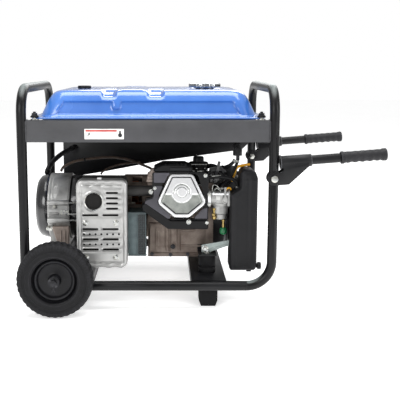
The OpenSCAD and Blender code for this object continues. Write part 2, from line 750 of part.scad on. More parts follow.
module recoil_cover() color("#232325") place() on_crank(recoil_x) difference() {
    union() {
        cylinder(r = 92, h = recoil_end_x - recoil_x, $fn = 96);
        // rope guide
        translate([-pulley_r, 0, 19]) rotate([-90, 0, 0]) cylinder(r = 10, h = guide_l);
    }
    difference() {
        translate([0, 0, -1]) cylinder(r = 89, h = recoil_end_x - recoil_x - 2, $fn = 96);
        cylinder(r = 8, h = frame_w);
    }
    translate([-pulley_r, 0, 19]) rotate([-90, 0, 0]) cylinder(r = 4, h = 100);
    for (a = [0 : 24 : 336]) rotate([0, 0, a]) translate([54, -3, 30]) cube([26, 6, 20]);
}

module recoil_pulley() color("#2e2e30") place() on_crank(recoil_x + 12) difference() {
    union() {
        cylinder(r = pulley_r + 6, h = 3);
        cylinder(r = pulley_r, h = 14);
        translate([0, 0, 11]) cylinder(r = pulley_r + 6, h = 3);
    }
    translate([0, 0, -1]) cylinder(r = 8 + bore_gap, h = 20);
}

// T-shaped pull handle with the knotted end of its rope
module recoil_grip() color("#1c1c1e") place() translate([recoil_x + 19, crank_y, crank_z + pulley_r]) {
    translate([0, guide_l + 11, -42]) cylinder(r = 10, h = 84);
    rod_y(guide_l + touch, guide_l + 5, 8);
    rod_y(66, guide_l + 5, 3);
}

module muffler_can(inset) translate([(muffler_x0 + muffler_x1) / 2, muffler_y1 - inset,
        (muffler_z0 + muffler_z1) / 2]) rotate([90, 0, 0])
    rounded_block(muffler_x1 - muffler_x0 - 2 * inset, muffler_z1 - muffler_z0 - 2 * inset,
        muffler_y1 - muffler_y0 - 2 * inset, 16 - inset);

module muffler() color("#4a4846") place() {
    difference() {
        muffler_can(0);
        muffler_can(3);
        translate([outlet_x, 0, outlet_z]) rod_y(muffler_y0 - 5, muffler_y0 + 5, outlet_r - 3);
        translate([0, exhaust_y, exhaust_z]) rod_x(muffler_x1 - 5, muffler_x1 + 5, 15);
    }
    // outlet pipe
    translate([outlet_x, 0, outlet_z]) difference() {
        rod_y(muffler_y0 - 8, muffler_y0 + 30, outlet_r - 3);
        rod_y(muffler_y0 - 9, muffler_y0 + 31, outlet_r - 6);
    }
    // pipe from the head, with its flange
    translate([0, exhaust_y, exhaust_z]) difference() {
        union() {
            rod_x(muffler_x1, cyl_x - 52.5, 15);
            rod_x(cyl_x - 78, cyl_x - 70, 22);
        }
        rod_x(muffler_x1 - 1, cyl_x, 12);
    }
    // bracket to the alternator
    block([-150, muffler_y1, 190], [-120, crank_y - stator_r + 4, 196]);
}

// Pressed heat shield with its louvre slots, round holes and outlet opening
slot_rows = [255, 216, 187, 158];
hole_rows = [201, 172];
short_slot_z = [317.5, 302.8, 288.1, 273.4];

module shield_cut(x0, x1, z, r) {
    block([x0 + r, shield_face_y - 5, z - r], [x1 - r, shield_face_y + 5, z + r]);
    for (x = [x0 + r, x1 - r]) translate([x, 0, z]) rod_y(shield_face_y - 5, shield_face_y + 5, r);
}

module muffler_shield() color("#b8b6b8") place() difference() {
    translate([-130, muffler_y0 + 20, 229]) rotate([90, 0, 0])
        rounded_block(141, 250, muffler_y0 + 20 - shield_face_y, 18);
    translate([-130, muffler_y0 + 21, 229]) rotate([90, 0, 0])
        rounded_block(138, 247, muffler_y0 + 21 - shield_face_y - 1.5, 16.5);
    translate([outlet_x, 0, outlet_z]) rod_y(shield_face_y - 5, shield_face_y + 5, outlet_r);
    for (z = slot_rows, x = [-184, -128]) shield_cut(x, x + 45, z, 2.6);
    for (z = short_slot_z) shield_cut(-118, -84, z, 2.8);
    for (z = hole_rows, i = [0 : 6]) translate([-180 + i * 16.2, 0, z])
        rod_y(shield_face_y - 5, shield_face_y + 5, 2.6);
}

// Folded sheet box that carries cooling air past the alternator's drive end
module cooling_duct() color("#3b4a4d") place() difference() {
    block([-58, -166, 131], [-8, -89, 255]);
    block([-56, -164, 133], [-10, -80, 253]);
}

module carburettor() color("#a7a5a2") place() difference() {
    union() {
        translate([0, intake_y, intake_z]) {
            rod_x(cyl_x + 58 + touch, 172, 17);
            rod_x(172, cleaner_x0, 21);
        }
        block([176, intake_y - 22, 306], [226, intake_y + 22, 314]);
        translate([202, intake_y, 0]) {
            translate([0, 0, 244]) cylinder(r = 23, h = 50);
            translate([0, 0, 232]) cylinder(r = 19, h = 12);
        }
        // fuel strainer under the bowl
        translate([211, intake_y - 6, 0]) {
            translate([0, 0, 207]) cylinder(r = 4, h = 26);
            translate([0, 0, 190]) cylinder(r = 10.5, h = 18);
        }
    }
    translate([0, intake_y, intake_z]) rod_x(0, frame_l, 13);
    translate([214, 0, intake_z]) rod_y(intake_y - 30, intake_y - 10, 3 + bore_gap);
}

module choke_lever() color("#2a2a2c") place() translate([214, intake_y - 21, intake_z]) {
    rod_y(-6, 8, 3);
    rod_y(-6, -3, 7);
    block([-3, -6, 0], [3, -3, 34]);
}

// ---------------------------------------------------------------- air cleaner

cleaner_points = [[228, 93], [298, 93], [304, 104], [304, 356], [298, 372], [286, 380],
    [264, 380], [256, 372], [256, 328], [228, 309]];
cleaner_inner_points = [[231, 96], [296.5, 96], [301, 105], [301, 355], [295.5, 369.7],
    [285, 377], [265.5, 377], [259, 370.6], [259, 326.3], [231, 307.4]];

// A slice of the air cleaner between two depths, open at its front
module cleaner_shell(y0, y1) translate([0, y1, 0]) rotate([90, 0, 0]) difference() {
    linear_extrude(y1 - y0) polygon(cleaner_points);
    translate([0, 0, 3]) linear_extrude(y1 - y0) polygon(cleaner_inner_points);
}

module air_cleaner_case() color("#202022") place() difference() {
    cleaner_shell(cleaner_split_y, cleaner_y1);
    translate([0, intake_y, intake_z]) rod_x(cleaner_x0 - 1, cleaner_x0 + 8, 13);
    // the breather hose's grommet hole, in the sloping shoulder
    translate([250, -142, 300]) cylinder(r = breather_r + 1, h = 40);
}

module air_cleaner_cover() color("#2c2c2e") place() {
    translate([0, cleaner_split_y + cleaner_y0, 0]) mirror([0, 1, 0])
        cleaner_shell(cleaner_y0, cleaner_split_y);
    // clamp knob on the outer edge
    translate([0, cleaner_y0 + 9, 106]) rod_x(cleaner_x1, cleaner_x1 + 12, 8);
}

module filter_element() color("#d9d2bd") place() block([238, -180, 120], [294, -122, 290]);

// Steel brackets: the engine's feet on their rubber blocks, and the air cleaner's stay
module engine_brackets() color("#8f9b99") place() {
    block([140, mount_y[0] - 26, mount_top_z], [192, case_y0, mount_top_z + 5]);
    block([140, case_y0 - 5, mount_top_z], [192, case_y0, 176]);
    block([140, case_y1, mount_top_z], [192, mount_y[1] + 26, mount_top_z + 5]);
    block([140, case_y1, mount_top_z], [192, case_y1 + 5, 143.5]);
    block([167, case_y1, mount_top_z], [192, case_y1 + 5, 176]);
    translate([0, -147, 0]) rotate([90, 0, 0]) linear_extrude(4)
        polygon([[150, 136], [168, 136], [cleaner_x0, 156], [cleaner_x0, 172], [150, 158]]);
    block([cleaner_x0 - 3, -151, 156], [cleaner_x0, -118, 172]);
    translate([160, 0, 134]) rod_y(case_y0 - 8, case_y0 + 12, 6);
}

module oil_dipstick() color("#2b2b2d") place() translate([150, 0, 160]) {
    rod_y(case_y1 + touch, case_y1 + 16, 15);
    rod_y(case_y1 - 18, case_y1 + touch, 9);
    rod_y(case_y1 - 70, case_y1 - 18, 3);
}

// ---------------------------------------------------------------- control panel

module panel_cuts() {
    for (x = duplex_x) translate([x, 0, outlet_row_z])
        block([-17, panel_front_y - 5, -32], [17, panel_front_y + 9, 32]);
    for (x = twist_x) translate([x, 0, outlet_row_z])
        rod_y(panel_front_y - 5, panel_front_y + 9, twist_r - 3);
    translate([meter_x, 0, meter_z]) rod_y(panel_front_y - 5, panel_front_y + 9, meter_r - 3);
    translate([switch_x, 0, outlet_row_z])
        block([-15, panel_front_y - 5, -20], [15, panel_front_y + 9, 20]);
    translate([button_x, 0, outlet_row_z]) rod_y(panel_front_y - 5, panel_front_y + 9, 6);
}

module control_panel_case() color("#19191a") place() {
    translate([0, panel_front_y, 0]) rotate([90, 0, 0]) difference() {
        linear_extrude(panel_front_y - panel_back_y) polygon(panel_points);
        translate([0, 0, -panel_wall]) linear_extrude(panel_front_y - panel_back_y)
            polygon(panel_inner_points);
    }
    // ears that bolt to the right-hand end of the beam
    translate([0, 206, 0]) rotate([90, 0, 0]) linear_extrude(4)
        polygon([[285, 462], [330, 462], [330, 420], [300, 392], [285, 392]]);
}

module control_panel_face() color("#1f1f21") place() difference() {
    translate([0, panel_front_y + 3, 0]) rotate([90, 0, 0]) linear_extrude(3)
        polygon(panel_points);
    panel_cuts();
}

// Outlets and the meter, each in its own hole of the face
module power_outlets() color("#2a2a2c") place() translate([0, panel_front_y, 0]) {
    for (x = duplex_x) translate([x, 0, outlet_row_z]) {
        block([-17, -20, -32], [17, 3, 32]);
        block([-19, 3, -34], [19, 5, 34]);
    }
    for (x = twist_x) translate([x, 0, outlet_row_z]) {
        rod_y(-24, 3, twist_r - 3);
        rod_y(3, 6, twist_r);
    }
    translate([meter_x, 0, meter_z]) {
        rod_y(-20, 3, meter_r - 3);
        rod_y(3, 6, meter_r);
    }
}

// Rocker that tips about X, drawn with its lower half pressed
module engine_switch() color("#b01818") place() translate([switch_x, panel_front_y - 4, outlet_row_z]) {
    rotate([-10, 0, 0]) rotate([90, 0, 90]) translate([0, 0, -13]) linear_extrude(26)
        polygon([[-4, -14], [8, -15], [6, 0], [8, 15], [-4, 14]]);
    rod_x(-14.5, 14.5, 2.5);
}

module breaker_button() color("#e8e6e0") place() translate([button_x, panel_front_y, outlet_row_z]) {
    rod_y(-12, 8, 5.7);
}

// Conduit, hose and sensor lead between the alternator, the engine and the panel
conduit_route = [[-318, 40, 336], [-316, 52, 348], [-306, 76, 366], [-284, 112, 386],
    [-262, 140, 397], [-250, 160, 403], [-248, 177, 404]];
loom_route = [[-272, 24, 346], [-262, 34, 360], [-226, 46, 374], [-176, 54, 381],
    [-124, 60, 384], [-70, 54, 378], [-24, 46, 362], [2, 38, 352], [12, 34, 343], [13, 34, 331]];
lead_route = [[-150, 18, 336.4], [-141, 21, 347], [-118, 28, 358], [-84, 36, 366], [-30, 46, 371]];

module wiring_harness() color("#1e1c1a") place() {
    swept(spline(conduit_route, 4), 6);
    swept(spline(loom_route, 4), 4);
    swept(spline(lead_route, 4), 3);
}

end_hoops();
bottom_rails();
side_beams();
cross_members();
axle();
rubber_mounts();
handle_pivot_bolts();
tank_upper_shell();
tank_lower_shell();
filler_neck();
fuel_gauge();
fixing_bolts();
fuel_valve();
rubber_hoses();
alternator_end_cover();
alternator_rear_bracket();
stator();
alternator_front_bracket();
shaft_bearings();
crankcase();
cylinder_head();
valve_cover();
head_shroud();
fuel_pump();
spark_plug();
blower_housing();
recoil_cover();
muffler();
muffler_shield();
cooling_duct();
carburettor();
air_cleaner_case();
air_cleaner_cover();
filter_element();
engine_brackets();
control_panel_case();
control_panel_face();
power_outlets();
wiring_harness();
tyre_front();
wheel_hub_front();
tyre_rear();
wheel_hub_rear();
handle_arm_front();
handle_grip_front();
handle_arm_rear();
handle_grip_rear();
cap_seal();
fuel_cap();
fuel_valve_lever();
choke_lever();
recoil_grip();
recoil_pulley();
crankshaft();
rotor();
flywheel();
piston();
engine_switch();
breaker_button();
oil_dipstick();
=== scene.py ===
# Portable generator on a wheeled tube cradle: looks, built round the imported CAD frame.
# The CAD nodes that already have the right shape are kept and finished; the rest get detailed
# pieces in the same places. Lengths are in millimetres from the middle of the cradle on the
# floor, which is found from the frame; toRow takes them to the frame's own metres.
import math
import random

import bmesh
import bpy
from mathutils import Matrix, Vector, geometry


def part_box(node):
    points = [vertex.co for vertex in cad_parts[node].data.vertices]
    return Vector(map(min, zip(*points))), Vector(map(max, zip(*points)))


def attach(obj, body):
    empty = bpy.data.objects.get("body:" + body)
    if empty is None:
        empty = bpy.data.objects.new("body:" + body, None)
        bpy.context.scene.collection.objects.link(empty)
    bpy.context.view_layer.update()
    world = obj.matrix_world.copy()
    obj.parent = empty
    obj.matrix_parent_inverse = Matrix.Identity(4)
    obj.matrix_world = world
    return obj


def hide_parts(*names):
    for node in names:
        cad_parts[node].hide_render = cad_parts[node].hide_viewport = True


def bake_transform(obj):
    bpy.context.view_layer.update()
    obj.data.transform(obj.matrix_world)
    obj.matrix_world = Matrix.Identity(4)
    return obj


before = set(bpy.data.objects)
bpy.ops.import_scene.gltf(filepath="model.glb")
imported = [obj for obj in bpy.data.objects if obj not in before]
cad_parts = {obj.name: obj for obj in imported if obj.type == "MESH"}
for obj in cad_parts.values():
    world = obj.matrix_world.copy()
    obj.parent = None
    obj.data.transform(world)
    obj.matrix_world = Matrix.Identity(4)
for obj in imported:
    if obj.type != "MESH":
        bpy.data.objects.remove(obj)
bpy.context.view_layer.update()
print("frame loaded:", len(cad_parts), "nodes")


hoopLow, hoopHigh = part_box("end_hoops")
shift = Vector(((hoopLow.x + hoopHigh.x) * 500, 0, 0))  # cradle's middle in the row frame, mm
toRow = Matrix.Translation(shift / 1000) @ Matrix.Scale(0.001, 4)


# camera

view = dict(
    place=(39, -2150.6, 664),  # mm, from the middle of the cradle
    pitch=8.36,  # degrees down
    lens=64.65,
    shift=(0.0933, -0.0713),
)

cameraData = bpy.data.cameras.new("studioCamera")
cameraData.lens = view["lens"]
cameraData.sensor_width = 36
cameraData.shift_x, cameraData.shift_y = view["shift"]
camera = bpy.data.objects.new("studioCamera", cameraData)
camera.location = toRow @ Vector(view["place"])
camera.rotation_euler = (math.radians(90 - view["pitch"]), 0, 0)
bpy.context.scene.collection.objects.link(camera)
bpy.context.scene.camera = camera


# floor, world and studio lights

studio = dict(
    worldHex="ffffff",
    worldStrength=0.5,
    view="Standard",
    # name, place in metres, size in metres, watts
    lights=[
        ("overheadBox", (0.0, -0.2, 2.5), (2.4, 1.6), 66),
        ("frontBox", (-1.6, -2.4, 1.5), (1.3, 1.3), 34),
        ("rightBox", (2.3, -1.5, 1.3), (0.9, 1.6), 26),
        ("backBox", (0.4, 2.6, 1.9), (2.2, 1.2), 34),
    ],
)


def hexToLinear(code, alpha=1.0):
    parts = [int(code[i : i + 2], 16) / 255 for i in (0, 2, 4)]
    parts = [c / 12.92 if c <= 0.04045 else ((c + 0.055) / 1.055) ** 2.4 for c in parts]
    return (*parts, alpha)


def addNode(tree, kind, inputs=None, **settings):
    # adds a shader node, sets its properties, and sets or links its inputs
    made = tree.nodes.new(kind)
    for name, value in settings.items():
        setattr(made, name, value)
    for key, value in (inputs or {}).items():
        if isinstance(value, bpy.types.NodeSocket):
            tree.links.new(value, made.inputs[key])
        else:
            made.inputs[key].default_value = value
    return made


world = bpy.data.worlds.new("studioWorld")
bpy.context.scene.world = world
world.use_nodes = True
world.node_tree.nodes.clear()
# soft light from all round, and a plain white wall behind
softLight = addNode(world.node_tree, "ShaderNodeBackground",
    {"Color": hexToLinear(studio["worldHex"]), "Strength": studio["worldStrength"]})
whiteWall = addNode(world.node_tree, "ShaderNodeBackground",
    {"Color": hexToLinear(studio["worldHex"]), "Strength": 1.0})
seen = addNode(world.node_tree, "ShaderNodeLightPath").outputs["Is Camera Ray"]
wall = addNode(world.node_tree, "ShaderNodeMixShader",
    {0: seen, 1: softLight.outputs[0], 2: whiteWall.outputs[0]})
addNode(world.node_tree, "ShaderNodeOutputWorld", {"Surface": wall.outputs[0]})
bpy.context.scene.view_settings.view_transform = studio["view"]

for name, place, size, watts in studio["lights"]:
    lightData = bpy.data.lights.new(name, "AREA")
    lightData.shape = "RECTANGLE"
    lightData.size, lightData.size_y = size
    lightData.energy = watts
    light = bpy.data.objects.new(name, lightData)
    light.location = place
    aim = Vector((0, 0, 0.3)) - Vector(place)
    light.rotation_euler = aim.to_track_quat("-Z", "Y").to_euler()
    bpy.context.scene.collection.objects.link(light)


# materials

finishes = {}


def newFinish(name):
    # an empty node material with its Principled shader, ready to be linked
    material = bpy.data.materials.new(name)
    material.use_nodes = True
    tree = material.node_tree
    tree.nodes.clear()
    shader = addNode(tree, "ShaderNodeBsdfPrincipled")
    addNode(tree, "ShaderNodeOutputMaterial", {"Surface": shader.outputs[0]})
    finishes[name] = material
    return material, tree, shader


def perMetre(sizeMm):
    # texture scale that gives a pattern its real size
    return 1000 / sizeMm


def surfaceFinish(name, look):
    # Builds one finish from its dictionary: two shades that drift over the surface, specks, lighter
    # edges (worn paint on most finishes, a painted highlight on the slate plates and the heat
    # shield), a painted sheen on upper faces where a finish asks for it, roughness that follows the
    # same drift, and a fine relief.
    material, tree, shader = newFinish(name)
    where = addNode(tree, "ShaderNodeTexCoord").outputs["Object"]
    drift = addNode(tree, "ShaderNodeTexNoise", {"Vector": where,
        "Scale": perMetre(look.get("driftMm", 60)), "Detail": 5, "Roughness": 0.6})
    spread = addNode(tree, "ShaderNodeValToRGB", {"Fac": drift.outputs["Fac"]})
    spread.color_ramp.elements[0].position = 0.35
    spread.color_ramp.elements[1].position = 0.68
    spread.color_ramp.elements[0].color = hexToLinear(look["shades"][0])
    spread.color_ramp.elements[1].color = hexToLinear(look["shades"][1])
    colour = spread.outputs["Color"]
    grain = addNode(tree, "ShaderNodeTexNoise", {"Vector": where,
        "Scale": perMetre(look.get("grainMm", 1.2)), "Detail": 3, "Roughness": 0.55})
    if "speckHex" in look:
        speck = addNode(tree, "ShaderNodeMapRange", {"Value": grain.outputs["Fac"],
            "From Min": look.get("speckFrom", 0.58), "From Max": look.get("speckFrom", 0.58) + 0.1,
            "To Max": look.get("speckAmount", 0.35)})
        colour = addNode(tree, "ShaderNodeMix", {0: speck.outputs[0], 6: colour,
            7: hexToLinear(look["speckHex"])}, data_type="RGBA").outputs[2]
    if "edgeHex" in look:
        edges = addNode(tree, "ShaderNodeNewGeometry").outputs["Pointiness"]
        edge = addNode(tree, "ShaderNodeMapRange", {"Value": edges, "From Min": 0.52,
            "From Max": 0.6, "To Max": look.get("edgeAmount", 0.4)})
        broken = addNode(tree, "ShaderNodeMath", {0: edge.outputs[0],
            1: drift.outputs["Fac"]}, operation="MULTIPLY")
        colour = addNode(tree, "ShaderNodeMix", {0: broken.outputs[0], 6: colour,
            7: hexToLinear(look["edgeHex"])}, data_type="RGBA").outputs[2]
    if "paintedTopSheenHex" in look:  # painted sheen: upper faces lightened to stand in for the overhead light on glossy top bars
        facing = addNode(tree, "ShaderNodeSeparateXYZ", {0: addNode(tree,
            "ShaderNodeNewGeometry").outputs["Normal"]}).outputs["Z"]
        top = addNode(tree, "ShaderNodeMapRange", {"Value": facing, "From Min": 0.55,
            "From Max": 0.98, "To Max": look["paintedTopSheenAmount"]})
        colour = addNode(tree, "ShaderNodeMix", {0: top.outputs[0], 6: colour,
            7: hexToLinear(look["paintedTopSheenHex"])}, data_type="RGBA").outputs[2]
    rough = addNode(tree, "ShaderNodeMapRange", {"Value": drift.outputs["Fac"],
        "From Min": 0.3, "From Max": 0.7, "To Min": look["rough"][0], "To Max": look["rough"][1]})
    bump = addNode(tree, "ShaderNodeBump", {"Height": grain.outputs["Fac"],
        "Strength": look.get("relief", 0.15), "Distance": look.get("reliefMm", 0.15) / 1000})
    tree.links.new(colour, shader.inputs["Base Color"])
    tree.links.new(rough.outputs[0], shader.inputs["Roughness"])
    tree.links.new(bump.outputs[0], shader.inputs["Normal"])
    for socket, value in look.get("sockets", {}).items():
        shader.inputs[socket].default_value = value
    return material


surfaceLooks = {
    # powder coat: sprayed and baked polyester, a soft sheen with a fine orange peel
    "blackPowderCoat": dict(shades=("09090a", "101012"), rough=(0.3, 0.4), grainMm=1.4,
        relief=0.3, reliefMm=0.12, edgeHex="3c3d40", edgeAmount=0.3, driftMm=90,
        sockets={"Specular IOR Level": 0.25}),
    # the hoops: the same coat, with a painted sheen that lightens the upper faces of the top bars
    "topSheenPowderCoat": dict(shades=("09090a", "101012"), rough=(0.3, 0.4), grainMm=1.4,
        relief=0.3, reliefMm=0.12, edgeHex="3c3d40", edgeAmount=0.3, driftMm=90,
        paintedTopSheenHex="97a09f", paintedTopSheenAmount=0.6, sockets={"Specular IOR Level": 0.25}),
    # satin paint on the folded beams, a shade lighter and duller than the tubes
    "greyBeamPaint": dict(shades=("222224", "2b2b2d"), rough=(0.42, 0.55), grainMm=1.1,
        relief=0.25, reliefMm=0.1, edgeHex="6c6d72", driftMm=120),
    # gloss enamel: stoved blue paint under a clear coat, sharp highlights, slight flow marks
    "blueEnamel": dict(shades=("3263b0", "4074c2"), rough=(0.22, 0.3), grainMm=6,
        relief=0.02, reliefMm=0.04, driftMm=260,
        sockets={"Coat Weight": 0.9, "Coat Roughness": 0.06, "Specular IOR Level": 0.5}),
    # black gloss enamel over spun steel
    "blackEnamel": dict(shades=("0f0f11", "18181b"), rough=(0.18, 0.3), grainMm=4,
        relief=0.12, reliefMm=0.08, driftMm=70, edgeHex="4c4d52",
        sockets={"Coat Weight": 0.6, "Coat Roughness": 0.08}),
    # stove paint on hot parts: dead matt, slightly brown where it has cured
    "stovePaint": dict(shades=("1c1b1a", "2b2927"), rough=(0.6, 0.78), grainMm=0.9,
        relief=0.35, reliefMm=0.15, driftMm=45, edgeHex="4a4743"),
    # aluminised steel: hot-dipped and pressed, bright grey with a mottled spangle; its near-white
    # edge colour is a painted highlight on the rim and the slot lips
    "aluminisedSteel": dict(shades=("9c9c9b", "b4b4b2"), rough=(0.3, 0.38), grainMm=1.2,
        relief=0.05, reliefMm=0.03, driftMm=70, edgeHex="f4f4f6", edgeAmount=0.6,
        sockets={"Metallic": 0.6}),
    # die-cast aluminium, shot-blasted: even grey, granular
    "castAluminium": dict(shades=("8e8e8d", "acacaa"), rough=(0.36, 0.52), grainMm=1.0,
        relief=0.5, reliefMm=0.2, driftMm=30, edgeHex="ececea", edgeAmount=0.7, speckHex="7d7c7a",
        sockets={"Metallic": 0.6}),
    # sand-blasted crankcase alloy with an oily brown-grey cast to it
    "brownCastAlloy": dict(shades=("5c4f47", "857970"), rough=(0.45, 0.62), grainMm=1.2,
        relief=0.5, reliefMm=0.25, driftMm=38, edgeHex="d2c4b8", edgeAmount=0.9,
        speckHex="554d47", sockets={"Metallic": 0.4}),
    # polished aluminium: buffed bright, faint polishing haze
    "polishedAluminium": dict(shades=("e4e5e6", "f0f0f1"), rough=(0.16, 0.24), grainMm=3.2,
        relief=0.04, reliefMm=0.03, driftMm=60, sockets={"Metallic": 0.45, "Coat Weight": 0.3}),
    # enamelled sheet steel with a blue-purple grey tone; its pale edge colour is a painted
    # highlight along the plates' edges
    "slateEnamel": dict(shades=("242329", "302e35"), rough=(0.34, 0.46), grainMm=0.9,
        relief=0.3, reliefMm=0.1, driftMm=50, edgeHex="8c8a97"),
    # grey-green enamelled sheet
    "tealEnamel": dict(shades=("192224", "263133"), rough=(0.36, 0.52), grainMm=2.4,
        relief=0.4, reliefMm=0.2, driftMm=26, edgeHex="8aa0a4", edgeAmount=0.6),
    # bright zinc plate: passivated, bluish with faint yellow drift
    "zincPlate": dict(shades=("a9adaf", "c6c4ba"), rough=(0.22, 0.36), grainMm=0.8,
        relief=0.15, reliefMm=0.05, driftMm=7, sockets={"Metallic": 1.0}),
    # dull grey-green zinc on folded brackets
    "greyZinc": dict(shades=("8a9492", "a4aeab"), rough=(0.4, 0.55), grainMm=1.4,
        relief=0.3, reliefMm=0.1, driftMm=20, edgeHex="ccd4d2", sockets={"Metallic": 0.7}),
    # chrome plate: mirror bright with a trace of polishing haze
    "chromePlate": dict(shades=("8d9093", "a9acae"), rough=(0.1, 0.2), grainMm=3,
        relief=0.05, reliefMm=0.03, driftMm=30, sockets={"Metallic": 1.0}),
    # yellow brass: turned fittings, slightly tarnished
    "turnedBrass": dict(shades=("8d7a4a", "b39b66"), rough=(0.24, 0.4), grainMm=0.8,
        relief=0.15, reliefMm=0.05, driftMm=6, sockets={"Metallic": 1.0}),
    # ground steel: shafts and bearings
    "groundSteel": dict(shades=("9da0a3", "bfc1c3"), rough=(0.2, 0.34), grainMm=0.6,
        relief=0.12, reliefMm=0.04, driftMm=12, sockets={"Metallic": 1.0}),
    # grey cast iron: dark, coarse sand skin
    "greyCastIron": dict(shades=("4a4b4c", "6a6b6c"), rough=(0.55, 0.7), grainMm=1.8,
        relief=0.6, reliefMm=0.3, driftMm=20, sockets={"Metallic": 0.6}),
    # enamelled copper wire, varnished
    "copperWinding": dict(shades=("6f3c1e", "9c5a2c"), rough=(0.3, 0.45), grainMm=1.1,
        relief=0.5, reliefMm=0.3, driftMm=14, sockets={"Metallic": 0.7, "Coat Weight": 0.4}),
    # moulded natural rubber: matt, chalky where it has been handled
    "mouldedRubber": dict(shades=("0c0c0d", "161618"), rough=(0.62, 0.8), grainMm=0.7,
        relief=0.4, reliefMm=0.1, driftMm=25, speckHex="3a3a3d", speckAmount=0.2,
        sockets={"Specular IOR Level": 0.2}),
    # tyre rubber: matt black with a grey bloom on its ribs
    "tyreRubber": dict(shades=("111112", "1d1d1f"), rough=(0.6, 0.78), grainMm=1.0,
        relief=0.45, reliefMm=0.15, driftMm=18, edgeHex="5a5a60", edgeAmount=0.5,
        sockets={"Specular IOR Level": 0.2}),
    # textured grip rubber, dark grey, with a leathery grain
    "gripRubber": dict(shades=("1a1a1c", "242427"), rough=(0.52, 0.66), grainMm=0.9,
        relief=0.6, reliefMm=0.15, driftMm=35, edgeHex="63636a",
        sockets={"Specular IOR Level": 0.3}),
    # extruded hose rubber with a waxy bloom
    "hoseRubber": dict(shades=("0d0d0e", "171719"), rough=(0.4, 0.55), grainMm=0.8,
        relief=0.25, reliefMm=0.08, driftMm=16,
        sockets={"Specular IOR Level": 0.25}),
    # brown PVC sheath over a wiring loom
    "brownSheath": dict(shades=("3c2f26", "52443a"), rough=(0.4, 0.55), grainMm=0.9,
        relief=0.25, reliefMm=0.08, driftMm=14),
    # yellow PVC sleeve
    "yellowSleeve": dict(shades=("d9951a", "edb32f"), rough=(0.36, 0.5), grainMm=1.0,
        relief=0.2, reliefMm=0.06, driftMm=10),
    # polypropylene: spark-eroded mould grain, charcoal, soft sheen
    "mouldedPolypropylene": dict(shades=("161618", "1f1f21"), rough=(0.48, 0.6), grainMm=0.9,
        relief=0.4, reliefMm=0.08, driftMm=80, edgeHex="5b5b60",
        sockets={"Specular IOR Level": 0.22}),
    # glass-filled nylon: black, faintly fibrous
    "blackNylon": dict(shades=("0b0b0c", "131315"), rough=(0.4, 0.55), grainMm=0.8,
        relief=0.35, reliefMm=0.08, driftMm=30, edgeHex="44454a",
        sockets={"Specular IOR Level": 0.22}),
    # ABS: gloss moulding, red and pale versions
    "redAbs": dict(shades=("a81513", "c4241d"), rough=(0.24, 0.36), grainMm=1.5,
        relief=0.1, reliefMm=0.05, driftMm=12),
    "greenAbs": dict(shades=("125030", "1f7345"), rough=(0.26, 0.38), grainMm=1.5,
        relief=0.1, reliefMm=0.05, driftMm=8),
    "paleAbs": dict(shades=("dcdad4", "ecebe6"), rough=(0.3, 0.42), grainMm=1.5,
        relief=0.1, reliefMm=0.05, driftMm=10),
    # glazed porcelain: hard white gloss
    "glazedPorcelain": dict(shades=("e6e2da", "f4f2ec"), rough=(0.1, 0.18), grainMm=4,
        relief=0.06, reliefMm=0.03, driftMm=12, sockets={"Coat Weight": 0.8}),
    # pleated filter paper
    "filterPaper": dict(shades=("cfc5a8", "e0d8c0"), rough=(0.85, 0.95), grainMm=0.6,
        relief=0.5, reliefMm=0.1, driftMm=14),
    # printed vinyl label stock, white and red
    "whiteVinyl": dict(shades=("dfdfdd", "efefec"), rough=(0.36, 0.46), grainMm=1.8,
        relief=0.08, reliefMm=0.03, driftMm=20),
    "redVinyl": dict(shades=("b03a35", "c75149"), rough=(0.36, 0.46), grainMm=1.8,
        relief=0.08, reliefMm=0.03, driftMm=20),
    # painted shade: flat black standing in for the shade inside sockets, slots, the grille's
    # openings and the alternator bracket's window
    "paintedShadeBlack": dict(shades=("08080a", "0e0e10"), rough=(0.6, 0.75), grainMm=1.0,
        relief=0.1, reliefMm=0.05, driftMm=10),
    # blackened steel: oiled phosphate finish on heads and axle ends
    "blackenedSteel": dict(shades=("1b1b1d", "2c2c2f"), rough=(0.34, 0.48), grainMm=0.8,
        relief=0.2, reliefMm=0.06, driftMm=9, edgeHex="6a6a6e", sockets={"Metallic": 0.7}),
    # the same powder coat over rippled weld metal, catching a little more light
    "weldedPowderCoat": dict(shades=("1c1c1e", "2a2a2d"), rough=(0.3, 0.4), grainMm=1.6,
        relief=0.35, reliefMm=0.2, driftMm=12, edgeHex="6e6f74"),
    # steel blackened by exhaust soot: dead matt, brown at the edge
    "sootySteel": dict(shades=("0b0a0a", "1a1714"), rough=(0.75, 0.9), grainMm=0.9,
        relief=0.3, reliefMm=0.12, driftMm=12),
    # nylon wheel rim: black, moulded grain, scuffed grey on its rings
    "rimNylon": dict(shades=("101012", "1a1a1d"), rough=(0.36, 0.5), grainMm=0.9,
        relief=0.3, reliefMm=0.08, driftMm=24, edgeHex="3c3d41", edgeAmount=0.5,
        sockets={"Specular IOR Level": 0.2}),
    # unpainted cylinder casting, beige where heat has toned it
    "paleCastAlloy": dict(shades=("8d8079", "aa9c92"), rough=(0.5, 0.66), grainMm=1.2,
        relief=0.5, reliefMm=0.25, driftMm=20, edgeHex="d8cabd", sockets={"Metallic": 0.35}),
    # the rocker cover's recesses: the same alloy left as cast, satin grey
    "satinAluminium": dict(shades=("8f938f", "a8aba6"), rough=(0.36, 0.48), grainMm=1.4,
        relief=0.15, reliefMm=0.06, driftMm=18, sockets={"Metallic": 0.75}),
    # rubberised underseal on the tank's lower pressing: black, matt and pebbled
    "underseal": dict(shades=("0e0e10", "18181a"), rough=(0.6, 0.78), grainMm=1.6,
        relief=0.5, reliefMm=0.3, driftMm=40),
    # braided nylon starter cord, off-black with pale flecks
    "starterCord": dict(shades=("1d1d20", "34343a"), rough=(0.7, 0.85), grainMm=1.1,
